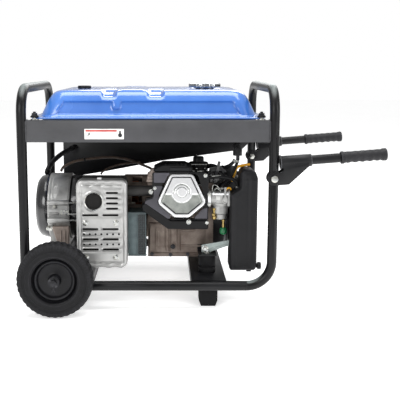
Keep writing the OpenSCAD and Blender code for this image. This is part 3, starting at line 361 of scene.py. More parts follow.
        relief=0.6, reliefMm=0.3, driftMm=4, speckHex="8a8a90", speckAmount=0.3),
    # mid-grey ABS of the outlet faces, satin moulded
    "greyAbs": dict(shades=("4b4c50", "5c5d61"), rough=(0.34, 0.46), grainMm=1.1,
        relief=0.15, reliefMm=0.05, driftMm=20, edgeHex="8b8c90"),
    # screen-printed inks on the label and dials; the black one is also the painted shade in the
    # rocker cover's groove
    "greyInk": dict(shades=("8f949c", "a0a4ab"), rough=(0.4, 0.5), grainMm=1.2,
        relief=0.06, reliefMm=0.02, driftMm=10),
    "blackInkAndPaintedShade": dict(shades=("17171a", "26262a"), rough=(0.4, 0.5), grainMm=1.2,
        relief=0.06, reliefMm=0.02, driftMm=10),
    # studio floor: matt painted board
    "floorBoard": dict(shades=("f3f3f3", "f7f7f7"), rough=(0.7, 0.8), grainMm=3,
        relief=0.02, reliefMm=0.05, driftMm=400,
        sockets={"Emission Color": (1, 1, 1, 1), "Emission Strength": 0.52}),
}
for name, look in surfaceLooks.items():
    surfaceFinish(name, look)
print("materials made:", len(finishes))

floorMesh = bpy.data.meshes.new("studioFloor")
floorPatch = bmesh.new()
bmesh.ops.create_grid(floorPatch, x_segments=8, y_segments=8, size=12)
floorPatch.to_mesh(floorMesh)
floorPatch.free()
floor = bpy.data.objects.new("studioFloor", floorMesh)
bpy.context.scene.collection.objects.link(floor)
floor.data.materials.append(finishes["floorBoard"])


# finishes of the CAD nodes that stay

nodeFinish = {
    "blackPowderCoat": ["bottom_rails", "cross_members", "handle_arm_front",
        "handle_arm_rear", "control_panel_case", "control_panel_face"],
    "greyBeamPaint": ["side_beams"],
    "blackEnamel": ["alternator_end_cover", "stator"],
    "underseal": ["tank_lower_shell"],
    "topSheenPowderCoat": ["end_hoops"],
    "stovePaint": ["muffler"],
    "castAluminium": ["alternator_rear_bracket", "piston", "choke_lever"],
    "brownCastAlloy": ["crankcase", "cylinder_head", "alternator_front_bracket"],
    "tealEnamel": ["cooling_duct"],
    "zincPlate": ["handle_pivot_bolts", "fixing_bolts", "filler_neck"],
    "blackenedSteel": ["axle"],
    "groundSteel": ["shaft_bearings", "crankshaft"],
    "greyCastIron": ["flywheel"],
    "copperWinding": ["rotor"],
    "mouldedRubber": ["rubber_mounts", "cap_seal"],
    "blackNylon": ["fuel_valve", "power_outlets", "blower_housing", "recoil_cover",
        "fuel_valve_lever", "recoil_grip", "recoil_pulley", "oil_dipstick"],
    "redAbs": ["engine_switch"],
    "paleAbs": ["breaker_button"],
    "glazedPorcelain": ["spark_plug"],
    "filterPaper": ["filter_element"],
}
# edge rounding of each kept node, in millimetres
edgeRound = {"crankcase": 2.5, "cylinder_head": 1.5, "alternator_rear_bracket": 1.5,
    "side_beams": 1.2, "cooling_duct": 1.5, "control_panel_case": 1.2, "rubber_mounts": 1.5}


def softenEdges(obj, widthMm, segments=2, angle=32):
    # welds the split corners, rounds the edges and keeps flat faces flat to the eye
    weld = obj.modifiers.new("weld", "WELD")
    weld.merge_threshold = 0.00002
    bevel = obj.modifiers.new("edgeRound", "BEVEL")
    bevel.width = widthMm / 1000
    bevel.segments = segments
    bevel.limit_method = "ANGLE"
    bevel.angle_limit = math.radians(angle)
    bevel.harden_normals = True
    bevel.use_clamp_overlap = True


for finish, nodes in nodeFinish.items():
    for node in nodes:
        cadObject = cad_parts[node]
        cadObject.data.materials.clear()
        cadObject.data.materials.append(finishes[finish])
        cadObject.data.polygons.foreach_set("use_smooth", [True] * len(cadObject.data.polygons))
        softenEdges(cadObject, edgeRound.get(node, 0.6))
print("CAD nodes finished")


# mesh tools: everything is drawn in millimetres from the middle of the cradle

crankLine = (20, 240)  # Y and Z of the crankshaft

facing = {  # where a drawing's own X, Y and Z point, by the side that it faces
    "up": ((1, 0, 0), (0, 1, 0), (0, 0, 1)),
    "front": ((1, 0, 0), (0, 0, 1), (0, -1, 0)),
    "rear": ((-1, 0, 0), (0, 0, 1), (0, 1, 0)),
    "right": ((0, 1, 0), (0, 0, 1), (1, 0, 0)),
    "left": ((0, -1, 0), (0, 0, 1), (-1, 0, 0)),
}


def at(place, side="up"):
    # matrix that puts a drawing at a place, facing one side
    turn = Matrix(facing[side]).transposed().to_4x4()
    return Matrix.Translation(Vector(place)) @ turn


def addRings(shape, rings, place=None, finish=0, ends=(True, True)):
    # skins a row of closed rings of points
    rows = [[shape.verts.new(place @ Vector(p) if place else p) for p in ring] for ring in rings]
    count = len(rows[0])
    made = []
    for near, far in zip(rows, rows[1:]):
        for i in range(count):
            j = (i + 1) % count
            made.append(shape.faces.new((near[i], near[j], far[j], far[i])))
    if ends[0]:
        made.append(shape.faces.new(rows[0][::-1]))
    if ends[1]:
        made.append(shape.faces.new(rows[-1]))
    for face in made:
        face.material_index = finish
    return made


def polar(radius, angle):
    return (radius * math.cos(angle), radius * math.sin(angle))


def fullTurn(count):
    # evenly spaced angles round a circle
    return [2 * math.pi * k / count for k in range(count)]


def rectangle(halfX, halfY):
    return [(-halfX, -halfY), (halfX, -halfY), (halfX, halfY), (-halfX, halfY)]


def addTurned(shape, profile, place, segments=48, finish=0, ends=(True, True)):
    # turns (radius, height) points about the drawing's Z
    rings = [[(*polar(r, a), h) for a in fullTurn(segments)] for r, h in profile]
    return addRings(shape, rings, place, finish, ends)


def addPrism(shape, outline, low, high, place, finish=0, chamfer=0):
    # extrudes a flat outline between two heights, with a small chamfer on its top edge
    rings = [[(x, y, low) for x, y in outline], [(x, y, high - chamfer) for x, y in outline]]
    if chamfer:
        rings.append([(x, y, high) for x, y in insetOutline(outline, chamfer)])
    return addRings(shape, rings, place, finish)


def addBlock(shape, low, high, finish=0):
    # a box between two corners, drawn straight in cradle millimetres
    x0, y0, z0 = low
    x1, y1, z1 = high
    ring = [(x0, y0), (x1, y0), (x1, y1), (x0, y1)]
    return addRings(shape, [[(x, y, z) for x, y in ring] for z in (z0, z1)], None, finish)


def circleOutline(radius, segments=24, centre=(0, 0), start=0.0):
    return [(centre[0] + radius * math.cos(start + 2 * math.pi * k / segments),
        centre[1] + radius * math.sin(start + 2 * math.pi * k / segments)) for k in range(segments)]


def roundCorners(points, radius, closed=True, steps=5):
    # replaces the corners of an outline by arcs; radius is one number or one for each corner
    points = [Vector(p).to_2d() for p in points]
    radii = radius if isinstance(radius, (list, tuple)) else [radius] * len(points)
    out = []
    for i, corner in enumerate(points):
        if not closed and i in (0, len(points) - 1) or radii[i] <= 0:
            out.append(tuple(corner))
            continue
        back = points[i - 1] - corner
        ahead = points[(i + 1) % len(points)] - corner
        half = back.angle(ahead) / 2
        reach = min(radii[i] / math.tan(half), back.length * 0.49, ahead.length * 0.49)
        bend = reach * math.tan(half)
        a, b = corner + back.normalized() * reach, corner + ahead.normalized() * reach
        middle = corner + (back.normalized() + ahead.normalized()).normalized() * (
            math.hypot(reach, bend))
        for k in range(steps + 1):
            ray = (a - middle).lerp(b - middle, k / steps)
            out.append(tuple(middle + ray.normalized() * bend))
    return out


def insetOutline(outline, amount):
    # moves a counter-clockwise outline inwards, corner by corner
    points = [Vector(p).to_2d() for p in outline]
    area = sum(a.x * b.y - b.x * a.y for a, b in zip(points, points[1:] + points[:1]))
    sign = 1 if area > 0 else -1
    out = []
    for i, p in enumerate(points):
        d1 = (p - points[i - 1]).normalized()
        d2 = (points[(i + 1) % len(points)] - p).normalized()
        n1, n2 = Vector((-d1.y, d1.x)) * sign, Vector((-d2.y, d2.x)) * sign
        mid = n1 + n2
        mid = mid.normalized() / max(mid.normalized().dot(n1), 0.4) if mid.length > 1e-6 else n1
        out.append(tuple(p + mid * amount))
    return out


def smoothPath(points, steps=6):
    # a smooth curve through points
    points = [Vector(p) for p in points]
    out = []
    for i in range(len(points) - 1):
        a, b = points[max(i - 1, 0)], points[i]
        c, d = points[i + 1], points[min(i + 2, len(points) - 1)]
        for k in range(steps):
            t = k / steps
            out.append(0.5 * (2 * b + (c - a) * t + (2 * a - 5 * b + 4 * c - d) * t * t
                + (3 * b - a - 3 * c + d) * t * t * t))
    return out + [points[-1]]


def addTube(shape, path, radius, sides=14, finish=0, place=None):
    # a round tube along a path; radius is one number or a function of the share of the length
    path = [Vector(p) for p in path]
    across = (path[1] - path[0]).orthogonal().normalized()
    rings = []
    for i, p in enumerate(path):
        ahead = (path[min(i + 1, len(path) - 1)] - path[max(i - 1, 0)]).normalized()
        across = (across - ahead * across.dot(ahead)).normalized()
        other = ahead.cross(across)
        r = radius(i / (len(path) - 1)) if callable(radius) else radius
        rings.append([p + r * (math.cos(2 * math.pi * k / sides) * across
            + math.sin(2 * math.pi * k / sides) * other) for k in range(sides)])
    return addRings(shape, rings, place, finish)


def addHexHead(shape, place, acrossCorners, height, finish=0):
    # hexagon head on a pressed washer, with its chamfered crown
    addTurned(shape, [(acrossCorners * 0.62, 0), (acrossCorners * 0.62, height * 0.16)], place,
        24, finish)
    hexagon = circleOutline(acrossCorners / 2, 6)
    low = [(x, y, height * 0.16) for x, y in hexagon]
    high = [(x, y, height * 0.85) for x, y in hexagon]
    crown = [(x * 0.86, y * 0.86, height) for x, y in hexagon]
    addRings(shape, [low, high, crown], place, finish)


def addPanHead(shape, place, radius, height, finish=0, slot=True):
    # domed screw head with a cross recess
    profile = [(radius, 0), (radius, height * 0.35), (radius * 0.9, height * 0.75),
        (radius * 0.6, height), (radius * 0.2, height)]
    addTurned(shape, profile, place, 24, finish)
    if slot:
        for turn in (0, 90):
            bar = [(-radius * 0.45, -radius * 0.1), (radius * 0.45, -radius * 0.1),
                (radius * 0.45, radius * 0.1), (-radius * 0.45, radius * 0.1)]
            addPrism(shape, bar, height * 0.9, height * 1.04,
                place @ Matrix.Rotation(math.radians(turn), 4, "Z"), finish)


def ramp(value, low, high):
    # smooth step from 0 at low to 1 at high
    t = min(max((value - low) / (high - low), 0.0), 1.0)
    return t * t * (3 - 2 * t)


def edgeDistance(p, outline):
    # distance from a point to an outline
    best = 1e9
    for i, (x1, y1) in enumerate(outline):
        x0, y0 = outline[i - 1]
        dx, dy = x1 - x0, y1 - y0
        t = ((p[0] - x0) * dx + (p[1] - y0) * dy) / max(dx * dx + dy * dy, 1e-9)
        t = min(max(t, 0.0), 1.0)
        best = min(best, math.hypot(p[0] - x0 - t * dx, p[1] - y0 - t * dy))
    return best


def roundedRim(d, radius):
    # drop of a pressing's edge that is rounded to a radius, at a distance from its outline
    return -(radius - math.sqrt(max(radius**2 - (radius - d) ** 2, 0))) if d < radius else 0.0


def addPressing(shape, outline, holes, spacing, relief, back, place, finish=0, punch=3.0,
        pick=None, rings=()):
    # A sheet pressing: fills an outline round its holes with a fine mesh, lifts each point by
    # relief(x, y, distance to the outline), and folds the border back to the height `back`.
    # rings are extra rows of points at these distances from the border, where it curves most.
    points = [Vector(p) for p in outline]
    faces = [list(range(len(outline)))]
    for hole in holes:
        faces.append(list(range(len(points), len(points) + len(hole))))
        points += [Vector(p) for p in hole]
    for amount in rings:
        points += [Vector(p) for p in insetOutline(outline, amount)]
    xs = [p.x for p in points[:len(outline)]]
    ys = [p.y for p in points[:len(outline)]]
    deepest = max(rings) if rings else 0
    for i in range(int((max(xs) - min(xs)) / spacing[0])):
        for j in range(int((max(ys) - min(ys)) / spacing[1])):
            p = (min(xs) + (i + 0.5) * spacing[0], min(ys) + (j + 0.5) * spacing[1])
            if edgeDistance(p, outline) > deepest + 0.6 * min(spacing) and all(
                    edgeDistance(p, hole) > 0.35 * min(spacing) for hole in holes):
                points.append(Vector(p))
    flat, edges, tris, *_ = geometry.delaunay_2d_cdt(points, [], faces, 2, 1e-5)
    depth = [edgeDistance(p, outline) for p in flat]
    verts = [shape.verts.new(place @ Vector((p.x, p.y, relief(p.x, p.y, d))))
        for p, d in zip(flat, depth)]
    made = []
    for tri in tris:
        face = shape.faces.new([verts[k] for k in tri])
        middle = sum((flat[k] for k in tri), Vector((0, 0))) / len(tri)
        face.material_index = pick(middle.x, middle.y) if pick else finish
        made.append(face)
    # fold the border back, and punch the holes' walls in
    borders = {}
    for face in made:
        for edge in face.edges:
            borders[edge] = borders.get(edge, 0) + 1
    index = {v: k for k, v in enumerate(verts)}
    lower = {}
    for edge, uses in list(borders.items()):
        if uses != 1:
            continue
        pair = []
        for v in edge.verts:
            k = index[v]
            if k not in lower:
                onRim = depth[k] < 1e-3
                height = back if onRim else relief(flat[k].x, flat[k].y, depth[k]) - punch
                lower[k] = shape.verts.new(place @ Vector((flat[k].x, flat[k].y, height)))
            pair.append(lower[k])
        wall = shape.faces.new((edge.verts[0], edge.verts[1], pair[1], pair[0]))
        wall.material_index = finish
    return made


def makePiece(name, shape, looks, body="root", replaces=(), roundMm=0, sharp=38):
    # turns a drawing into a Blender object of the row frame, finished and riding on its body
    bmesh.ops.recalc_face_normals(shape, faces=shape.faces)
    shape.transform(toRow)
    mesh = bpy.data.meshes.new(name)
    shape.to_mesh(mesh)
    shape.free()
    mesh.polygons.foreach_set("use_smooth", [True] * len(mesh.polygons))
    mesh.set_sharp_from_angle(angle=math.radians(sharp))
    piece = bpy.data.objects.new(name, mesh)
    bpy.context.scene.collection.objects.link(piece)
    for look in ([looks] if isinstance(looks, str) else looks):
        mesh.materials.append(finishes[look])
    if roundMm:
        softenEdges(piece, roundMm, segments=3)
    if body:
        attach(piece, body)
    if replaces:
        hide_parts(*replaces)
    return piece


# fuel tank: upper pressing

tank = dict(
    look="blueEnamel",
    # half length, half width, corner radius and height of each level, mm
    levels=[(315, 239, 34, 523.8), (315, 239, 34, 526.2), (314.6, 238.6, 34, 527.6),
        (312, 236, 33, 528.2), (303, 222, 38, 528.4), (297, 213, 41, 529.3),
        (294, 209.5, 42, 532), (291.5, 207.5, 42, 538), (284.5, 203, 41, 553),
        (277.5, 198, 40, 568), (270.5, 191.5, 38, 580), (264, 185.5, 36, 588.5),
        (256, 177.5, 34, 594.5), (245, 167, 31, 597.6), (229, 150, 28, 599),
        (198, 120, 24, 599.8), (150, 80, 18, 600.3), (90, 42, 12, 600.6), (30, 12, 4, 600.6)],
    cap=(160, -60), gauge=(-187, -60),  # middles of their seats
    panelEnd=252, panelDepth=5.5,  # sunk panel along each side
    notches=[(-130, -118, -98, -84), (-7, 8, 31, 46)],  # pockets across the top edges
    notchDepth=9.5,
)


def roundedRing(halfX, halfY, radius, z, alongX=150, alongY=50, corner=12):
    # a closed ring round a rounded rectangle, with the same count of points at any size
    flatX, flatY = halfX - radius, halfY - radius
    ring = []
    for cx, cy, turn, count, dx, dy in ((flatX, -flatY, 270, alongY, 0, 1),
            (flatX, flatY, 0, alongX, -1, 0), (-flatX, flatY, 90, alongY, 0, -1),
            (-flatX, -flatY, 180, alongX, 1, 0)):
        for k in range(corner):
            a = math.radians(turn + 90 * k / corner)
            ring.append((cx + radius * math.cos(a), cy + radius * math.sin(a), z))
        a = math.radians(turn + 90)
        start = (cx + radius * math.cos(a), cy + radius * math.sin(a))
        length = 2 * (flatX if dx else flatY)
        for k in range(count):
            ring.append((start[0] + dx * length * k / count, start[1] + dy * length * k / count, z))
    return ring


def pressTank(point):
    # sinks the side panels, the pockets over the top edges, and the seats of cap and gauge
    x, y, z = point
    side = -1 if y < 0 else 1
    pocket = sum(ramp(x, a, b) * (1 - ramp(x, c, d)) for a, b, c, d in tank["notches"])
    if abs(y) > 140:
        end = tank["panelEnd"] - (z - 534) * 0.55
        panel = ramp(z, 531.5, 536) * (1 - ramp(z, 566, 570)) * ramp(end - abs(x), 0, 6)
        if side < 0:
            panel *= 1 - ramp(x, -99, -95) * (1 - ramp(x, -77, -73)) * ramp(z, 545, 552)
        y -= side * tank["panelDepth"] * panel
        y -= side * 8 * pocket * ramp(z, 572, 588)
    z -= tank["notchDepth"] * pocket * ramp(z, 578, 594) * ramp(abs(y), 112, 150)
    z += 1.6 * (1 - pocket) * ramp(z, 596, 598) * ramp(x, -82, -70) * (1 - ramp(x, -22, -8)) * (
        ramp(abs(y), 96, 112))
    capSeat = math.hypot(x - tank["cap"][0], y - tank["cap"][1])
    z -= 2.4 * (1 - ramp(capSeat, 52, 64)) * ramp(z, 590, 598)
    gaugeSeat = math.hypot(x - tank["gauge"][0], y - tank["gauge"][1])
    z -= 1.2 * (1 - ramp(gaugeSeat, 25, 32)) * ramp(z, 590, 598)
    return (x, y, z)


shape = bmesh.new()
rings = [[pressTank(p) for p in roundedRing(*level)] for level in
    smoothPath([Vector(level) for level in tank["levels"]], steps=5)]
addRings(shape, rings)
makePiece("tank_upper_pressing", shape, tank["look"],
    replaces=["tank_upper_shell"])


# tank bolts: rubber washers, black heads, and the studs' ends

shape = bmesh.new()
for x in (-303, 303):
    for y in (-232, 232):
        addTurned(shape, [(10.5, 0), (11.4, 1), (11.4, 3.4), (10.2, 4.4)], at((x, y, 527.6)), 32, 1)
        addTurned(shape, [(9.4, 4.4), (9.4, 5.6), (8.6, 6)], at((x, y, 527.6)), 32, 0)
        addHexHead(shape, at((x, y, 532.4)), 16, 7.4, 0)
        addTurned(shape, [(4, 7), (4, 10.4), (3.2, 11.2)], at((x, y, 532.4)), 20, 0)
makePiece("tank_bolt_heads", shape, ["blackenedSteel", "mouldedRubber"],
    roundMm=0.3)
print("tank made")


# front and rear beams: the label without wording, and the weld beads at the posts

label = dict(x=(-168.5, -63.8), z=(471.5, 499.0), face=-252.05, thick=0.45)
label["middle"] = (sum(label["x"]) / 2, sum(label["z"]) / 2)

shape = bmesh.new()
width, height = label["x"][1] - label["x"][0], label["z"][1] - label["z"][0]
place = at((label["middle"][0], label["face"], label["middle"][1]), "front")
card = roundCorners(rectangle(width / 2, height / 2), 1.6)
addPrism(shape, card, 0, label["thick"], place, 0)
top = label["thick"] + 0.12
band = [(-width / 2 + 3, height / 2 - 7.4), (width / 2 - 19, height / 2 - 7.4),
    (width / 2 - 19, height / 2 - 2.6), (-width / 2 + 3, height / 2 - 2.6)]
addPrism(shape, band, 0, top, place, 1)
for row in range(4):  # four rows of plain grey dashes where print would be
    z = 2.6 - row * 3.4
    x = -width / 2 + 19
    for dash in (17, 11, 14, 9):
        addPrism(shape, [(x, z), (x + dash, z), (x + dash, z + 1), (x, z + 1)], 0, top, place, 2)
        x += dash + 2.4
bolt = [(-48, -6), (-41.4, -1.8), (-42.6, 1.4), (-35.6, 5.6), (-39, 0), (-37.4, -2.2)]
addPrism(shape, bolt, 0, top, place, 3)
drop = circleOutline(5.4, 24, (width / 2 - 10.2, -3.2))
addPrism(shape, drop, 0, top, place, 3)
addPrism(shape, [(width / 2 - 13, -1), (width / 2 - 7.4, -1), (width / 2 - 8.2, 9),
    (width / 2 - 12.2, 9)], 0, top, place, 3)
makePiece("beam_label", shape, ["whiteVinyl", "redVinyl", "greyInk", "blackInkAndPaintedShade"])

welds = random.Random(7)
shape = bmesh.new()


def addWeldBead(points, radius=2.6):
    # overlapping ripples laid along a seam
    seam = smoothPath(points, 10)
    addTube(shape, seam, lambda t: radius * (0.85 + 0.22 * abs(math.sin(t * 9 * math.pi))
        + welds.uniform(-0.08, 0.08)), 8)


for x in (-1, 1):
    for y in (-1, 1):
        edge = x * 324.3
        addWeldBead([(edge, y * 251, 466), (edge, y * 251.6, 492), (edge, y * 251, 518)])
        addWeldBead([(edge, y * 250, 521.2), (edge - x * 1, y * 240, 521.4),
            (edge, y * 228, 521.2)], 2.2)
makePiece("beam_weld_beads", shape, "weldedPowderCoat", sharp=70)
print("beam details made")


# heat shield: pressed sheet with a rolled rim, dents, louvre slots and round holes

shield = dict(
    look="aluminisedSteel",
    x=(-200.5, -59.5), z=(104, 354), face=-200.5, back=-166,
    spacing=(2.5, 2.5),
    longSlots=(255, 216, 187, 158), holeRows=(201, 172), shortSlots=(317.5, 302.8, 288.1, 273.4),
    screws=((-175, 234), (-91, 234), (-175, 136), (-91, 136)),
    outlet=(-152, 294), outletRadius=26.5,
    dents=((-165, 341), (-133, 341), (-101, 341), (-72, 318), (-72, 288), (-72, 262),
        (-188, 318), (-188, 290), (-188, 262), (-72, 205), (-72, 172), (-188, 205), (-188, 172)),
)
middleX, middleZ = sum(shield["x"]) / 2, sum(shield["z"]) / 2
slots = [(x0 - middleX, x1 - middleX, z - middleZ, 2.9) for z in shield["longSlots"]
    for x0, x1 in ((-184, -139), (-128, -83))]
slots += [(-118 - middleX, -84 - middleX, z - middleZ, 3.0) for z in shield["shortSlots"]]
slots += [(x - middleX, x - middleX, z - middleZ, 3.2) for z in shield["holeRows"]
    for x in [-180 + 16.2 * k for k in range(7)]]


def slotOutline(x0, x1, z, r):
    # a slot with round ends, or a round hole when both ends are the same place
    if x1 - x0 < 1:
        return circleOutline(r, 14, (x0, z))
    ends = [(x1 - r + r * math.sin(a), z - r * math.cos(a)) for a in
        [math.pi * k / 7 for k in range(8)]]
    return ends + [(x0 + x1 - x, 2 * z - y) for x, y in ends]


def shieldRelief(x, z, d):
    lift = roundedRim(d, 7)
    lift -= 2.6 * ramp(d, 8.5, 11) * (1 - ramp(d, 13.5, 16))  # groove inside the rim
    wx, wz = x + middleX, z + middleZ
    for dx, dz in shield["dents"]:
        lift -= 2.6 * math.exp(-((wx - dx) ** 2 / 60 + (wz - dz) ** 2 / 45))
    inside = ramp(d, 15, 18)
    for low, high in ((219, 249), (122, 149)):  # the two plain bands that carry the screws
        band = ramp(wz, low - 1.5, low + 1.5) * (1 - ramp(wz, high - 1.5, high + 1.5))
        lift += 2.2 * band * inside
    if 150 < wz < 219 and d > 15:  # gentle ribs between the rows
        lift += 0.9 * math.cos((wz - 158) / 14.5 * 2 * math.pi) * inside
    if wz > 262 and wx > -122:
        lift += 0.9 * math.cos((wz - 273.4) / 14.7 * 2 * math.pi + math.pi) * inside
    nearest = 9.0
    for x0, x1, sz, r in slots:
        if abs(z - sz) < 7:
            run = max(x0 + r - x, 0, x - x1 + r)
            nearest = min(nearest, math.hypot(run, z - sz) - r)
    lift += 0.9 * (1 - ramp(nearest, 0.4, 2.6))  # raised lips
    outlet = math.hypot(wx - shield["outlet"][0], wz - shield["outlet"][1])
    outlet -= shield["outletRadius"]
    lift += 2.0 * (1 - ramp(outlet, 1.0, 4.5))
    return lift


halfW, halfH = (shield["x"][1] - shield["x"][0]) / 2, (shield["z"][1] - shield["z"][0]) / 2
rim = roundCorners(rectangle(halfW, halfH), 18,
    steps=8)
border = []
for near, far in zip(rim, rim[1:] + rim[:1]):  # fine steps along the straight edges
    count = max(1, round(math.dist(near, far) / 5))
    border += [(near[0] + (far[0] - near[0]) * k / count, near[1] + (far[1] - near[1]) * k / count)
        for k in range(count)]
border = [(x, y + 1.6 * math.cos(x / 17.6 * math.pi) * ramp(-y, halfH - 4, halfH))
    for x, y in border]  # wavy lower edge
holes = [slotOutline(*slot) for slot in slots]
holes.append(circleOutline(shield["outletRadius"], 40,
    (shield["outlet"][0] - middleX, shield["outlet"][1] - middleZ)))
shape = bmesh.new()
place = at((middleX, shield["face"], middleZ), "front")
addPressing(shape, border, holes, shield["spacing"], shieldRelief,
    shield["face"] - shield["back"], place, punch=2.4,
    rings=(0.5, 1.4, 2.8, 4.6, 7, 9, 11, 13.5))
addPrism(shape, roundCorners([(-10, 0), (2, 0), (2, 9), (-10, 9)], 1.5), -1.2, 0.4,
    at((-132, shield["face"] + 9, 350), "front"))
makePiece("heat_shield", shape, shield["look"], replaces=["muffler_shield"],
    sharp=50)

shape = bmesh.new()
for x, z in shield["screws"]:
    addTurned(shape, [(8.6, 1.5), (8.6, 3), (7.4, 3.5)], at((x, shield["face"], z), "front"), 28)
    addPanHead(shape, at((x, shield["face"] - 3.4, z), "front"), 6.2, 3.4)
outletPlace = at((shield["outlet"][0], shield["face"], shield["outlet"][1]), "front")
addTurned(shape, [(26.4, -8), (26.4, 2.6), (25.2, 3.6), (23.8, 2.6), (23.6, -8)], outletPlace,
    48, ends=(False, False))
makePiece("shield_screws", shape, "zincPlate", sharp=30)

shape = bmesh.new()  # sooty cup inside the outlet
addTurned(shape, [(23.2, -30), (23.2, 0.5), (21.4, 0.5), (20.2, -6), (17, -9), (0.5, -12)],
    outletPlace, 40, ends=(False, True))
makePiece("muffler_outlet", shape, "sootySteel", sharp=40)
print("heat shield made")


# wheels: moulded tyres with shoulder blocks, and nylon rims

tyre = dict(
    lugs=38, perLug=6,
    # radius and distance from the tyre's middle along its sidewall, mm
    wall=[(97.6, 22.2), (94.5, 24.2), (90.5, 24.9), (87, 24.8), (84.2, 23.4), (81, 23.2),
        (79.4, 24.2), (77.8, 24.3), (76, 23.2), (71.5, 23.2), (69.6, 24), (66.4, 24.2),
        (64.2, 23), (62.6, 20.6), (61.2, 19)],
    crown=[(102, 0), (102, 3.2), (99.6, 4.0), (99.6, 6.4), (101.9, 7.2), (101.6, 11.5),
        (101, 15.5), (99.8, 19.4)],
)


def turnedTyre(shape, place):
    # turns the section with lugs cut across the crown and bars raised on the shoulder
    half = tyre["crown"] + tyre["wall"]
    loop = [(r, -y) for r, y in half[::-1]] + half[1:]
    count = tyre["lugs"] * tyre["perLug"]
    rows = []
    for r, y in loop:
        row = []
        for k in range(count):
            phase = (k / tyre["perLug"] + (0.5 if y > 0 else 0.0) + abs(y) * 0.016) % 1.0
            raised = ramp(phase, 0.0, 0.17) * (1 - ramp(phase, 0.5, 0.67))
            rr, yy = r, y
            if r > 99 and abs(y) > 6.8:
                rr -= 1.5 * (1 - raised)
            elif abs(y) > 21.5 and r > 86:
                yy += math.copysign(2.2 * (raised - 0.5), y)
                rr -= 0.7 * (1 - raised) * ramp(r, 92, 99)
            elif r > 101 and abs(y) < 3.3:
                yy += 1.8 * math.sin(2 * math.pi * k / tyre["perLug"])
            a = 2 * math.pi * k / count
            row.append((*polar(rr, a), yy))
        rows.append(row)
    rows.append(rows[0])
    addRings(shape, rows, place, ends=(False, False))
    bmesh.ops.remove_doubles(shape, verts=shape.verts, dist=0.01)


def turnedRim(shape, place):
    # disc with a raised ring and the bearing boss, the same on both faces
    section = [(8.4, 24.6), (11.5, 25), (14.6, 24.4), (15.8, 22.6), (16, 12), (18, 8.4), (23, 6.4),
        (36, 5.2), (44, 5.4), (46.5, 8.4), (47.8, 12.6), (49.6, 14), (52.4, 14), (54, 12.4),
        (54.8, 8.2), (57.2, 6.6), (59, 8.4), (60.2, 17), (61.4, 20.4), (63.6, 21.6), (65.6, 23.6)]
    loop = section + [(65.9, 22.4), (62.4, 19.4), (61, 17)]
    profile = loop + [(r, -y) for r, y in loop[::-1]]
    addTurned(shape, profile + [profile[0]], place, 72, ends=(False, False))


for suffix, side in (("front", -1), ("rear", 1)):
    place = at((-247, side * 301.5, 102), "front" if side < 0 else "rear")
    shape = bmesh.new()
    turnedTyre(shape, place)
    makePiece("tyre_moulding_" + suffix, shape, "tyreRubber",
        "wheel_" + suffix, ["tyre_" + suffix], sharp=34)
    shape = bmesh.new()
    turnedRim(shape, place)
    makePiece("wheel_rim_" + suffix, shape, "rimNylon", "wheel_" + suffix,
        ["wheel_hub_" + suffix], sharp=34)
print("wheels made")


# handles: grips with finger waves, end flare and collar

grip = dict(start=182, end=304, radius=15.6, wave=1.5, waves=5, rise=41.5, tilt=4.4)


def gripPlace(side):
    # frame whose Z runs out along the handle's tube
    turn = Matrix.Rotation(math.radians(-grip["tilt"]), 4, "Y")
    along = Matrix(((0, 0, 1), (1, 0, 0), (0, 1, 0))).to_4x4()
    return Matrix.Translation(Vector((336.65, side * 245.15, 366))) @ turn @ Matrix.Translation(
        Vector((0, 0, grip["rise"]))) @ along


for suffix, side in (("front", -1), ("rear", 1)):
    shape = bmesh.new()
    rings = []
    length = grip["end"] - grip["start"]
    stations = [0, 0.6, 1.6, 3.5, 5.5, 6.2, 6.8] + [8 + (length - 20) * k / 60 for k in range(61)]
    stations += [length - 10, length - 6, length - 3, length - 1.2, length - 0.3, length]
    for s in stations:
        if s < 6.5:
            base, waved = 16.9 - 0.8 * (1 - ramp(s, 0, 1.6)), 0.0
        else:
            base = grip["radius"] + 1.2 * ramp(s, length - 16, length - 8)
            waved = ramp(s, 9, 14) * (1 - ramp(s, length - 18, length - 12))
            base -= 0.5 * (1 - ramp(s, 6.6, 8))
        edge = max(length - s, 0)
        if edge < 3:
            base -= 3 - math.sqrt(max(9 - (3 - edge) ** 2, 0))
        ring = []
        for a in fullTurn(40):
            under = 0.35 + 0.65 * ramp(-math.sin(a), -0.4, 0.8)
            wave = math.cos((s - 9) / (length - 24) * grip["waves"] * 2 * math.pi)
            r = base - waved * grip["wave"] * (0.5 + 0.5 * wave) * under * 1.3
            ring.append((*polar(r, a), grip["start"] + s))
        rings.append(ring)
    addRings(shape, rings, gripPlace(side))
    makePiece("grip_moulding_" + suffix, shape, "gripRubber", "handle_" + suffix,
        ["handle_grip_" + suffix], sharp=40)
    shape = bmesh.new()
    for s, r in ((18.4, 18.2), (99.6, 15.6)):  # weld rings at both ends of the sleeve
        addTube(shape, [(*polar(r, math.radians(10 * k)), s + 2.4) for k in range(37)], 1.5, 6,
            place=gripPlace(side))
    makePiece("handle_weld_rings_" + suffix, shape, "weldedPowderCoat",
        "handle_" + suffix, sharp=70)
print("handles made")


# rocker cover: polished pressing on the cylinder head

rocker = dict(
    look="polishedAluminium",
    circles=((24, 48, 12), (-24, 48, 12), (50, -16, 15), (-50, -16, 15), (16, -48, 12),
        (-16, -48, 12)),
    boss=(0, 9), height=20, spacing=(1.3, 1.3),
)
cylinderTurn = Matrix.Translation(Vector((92, *crankLine))) @ Matrix.Rotation(
    math.radians(72), 4, "X")


def onCylinder(out):
    # the cylinder's own frame: Z points out through the rocker cover
    return cylinderTurn @ Matrix.Translation(Vector((0, 0, out)))


def hullOutline(circles, grow=0.0, steps=20):
    # outline of a band stretched round some circles
    points = [Vector(p) for x, y, r in circles for p in circleOutline(r + grow, steps * 4, (x, y))]
    return [tuple(points[k]) for k in geometry.convex_hull_2d(points)]


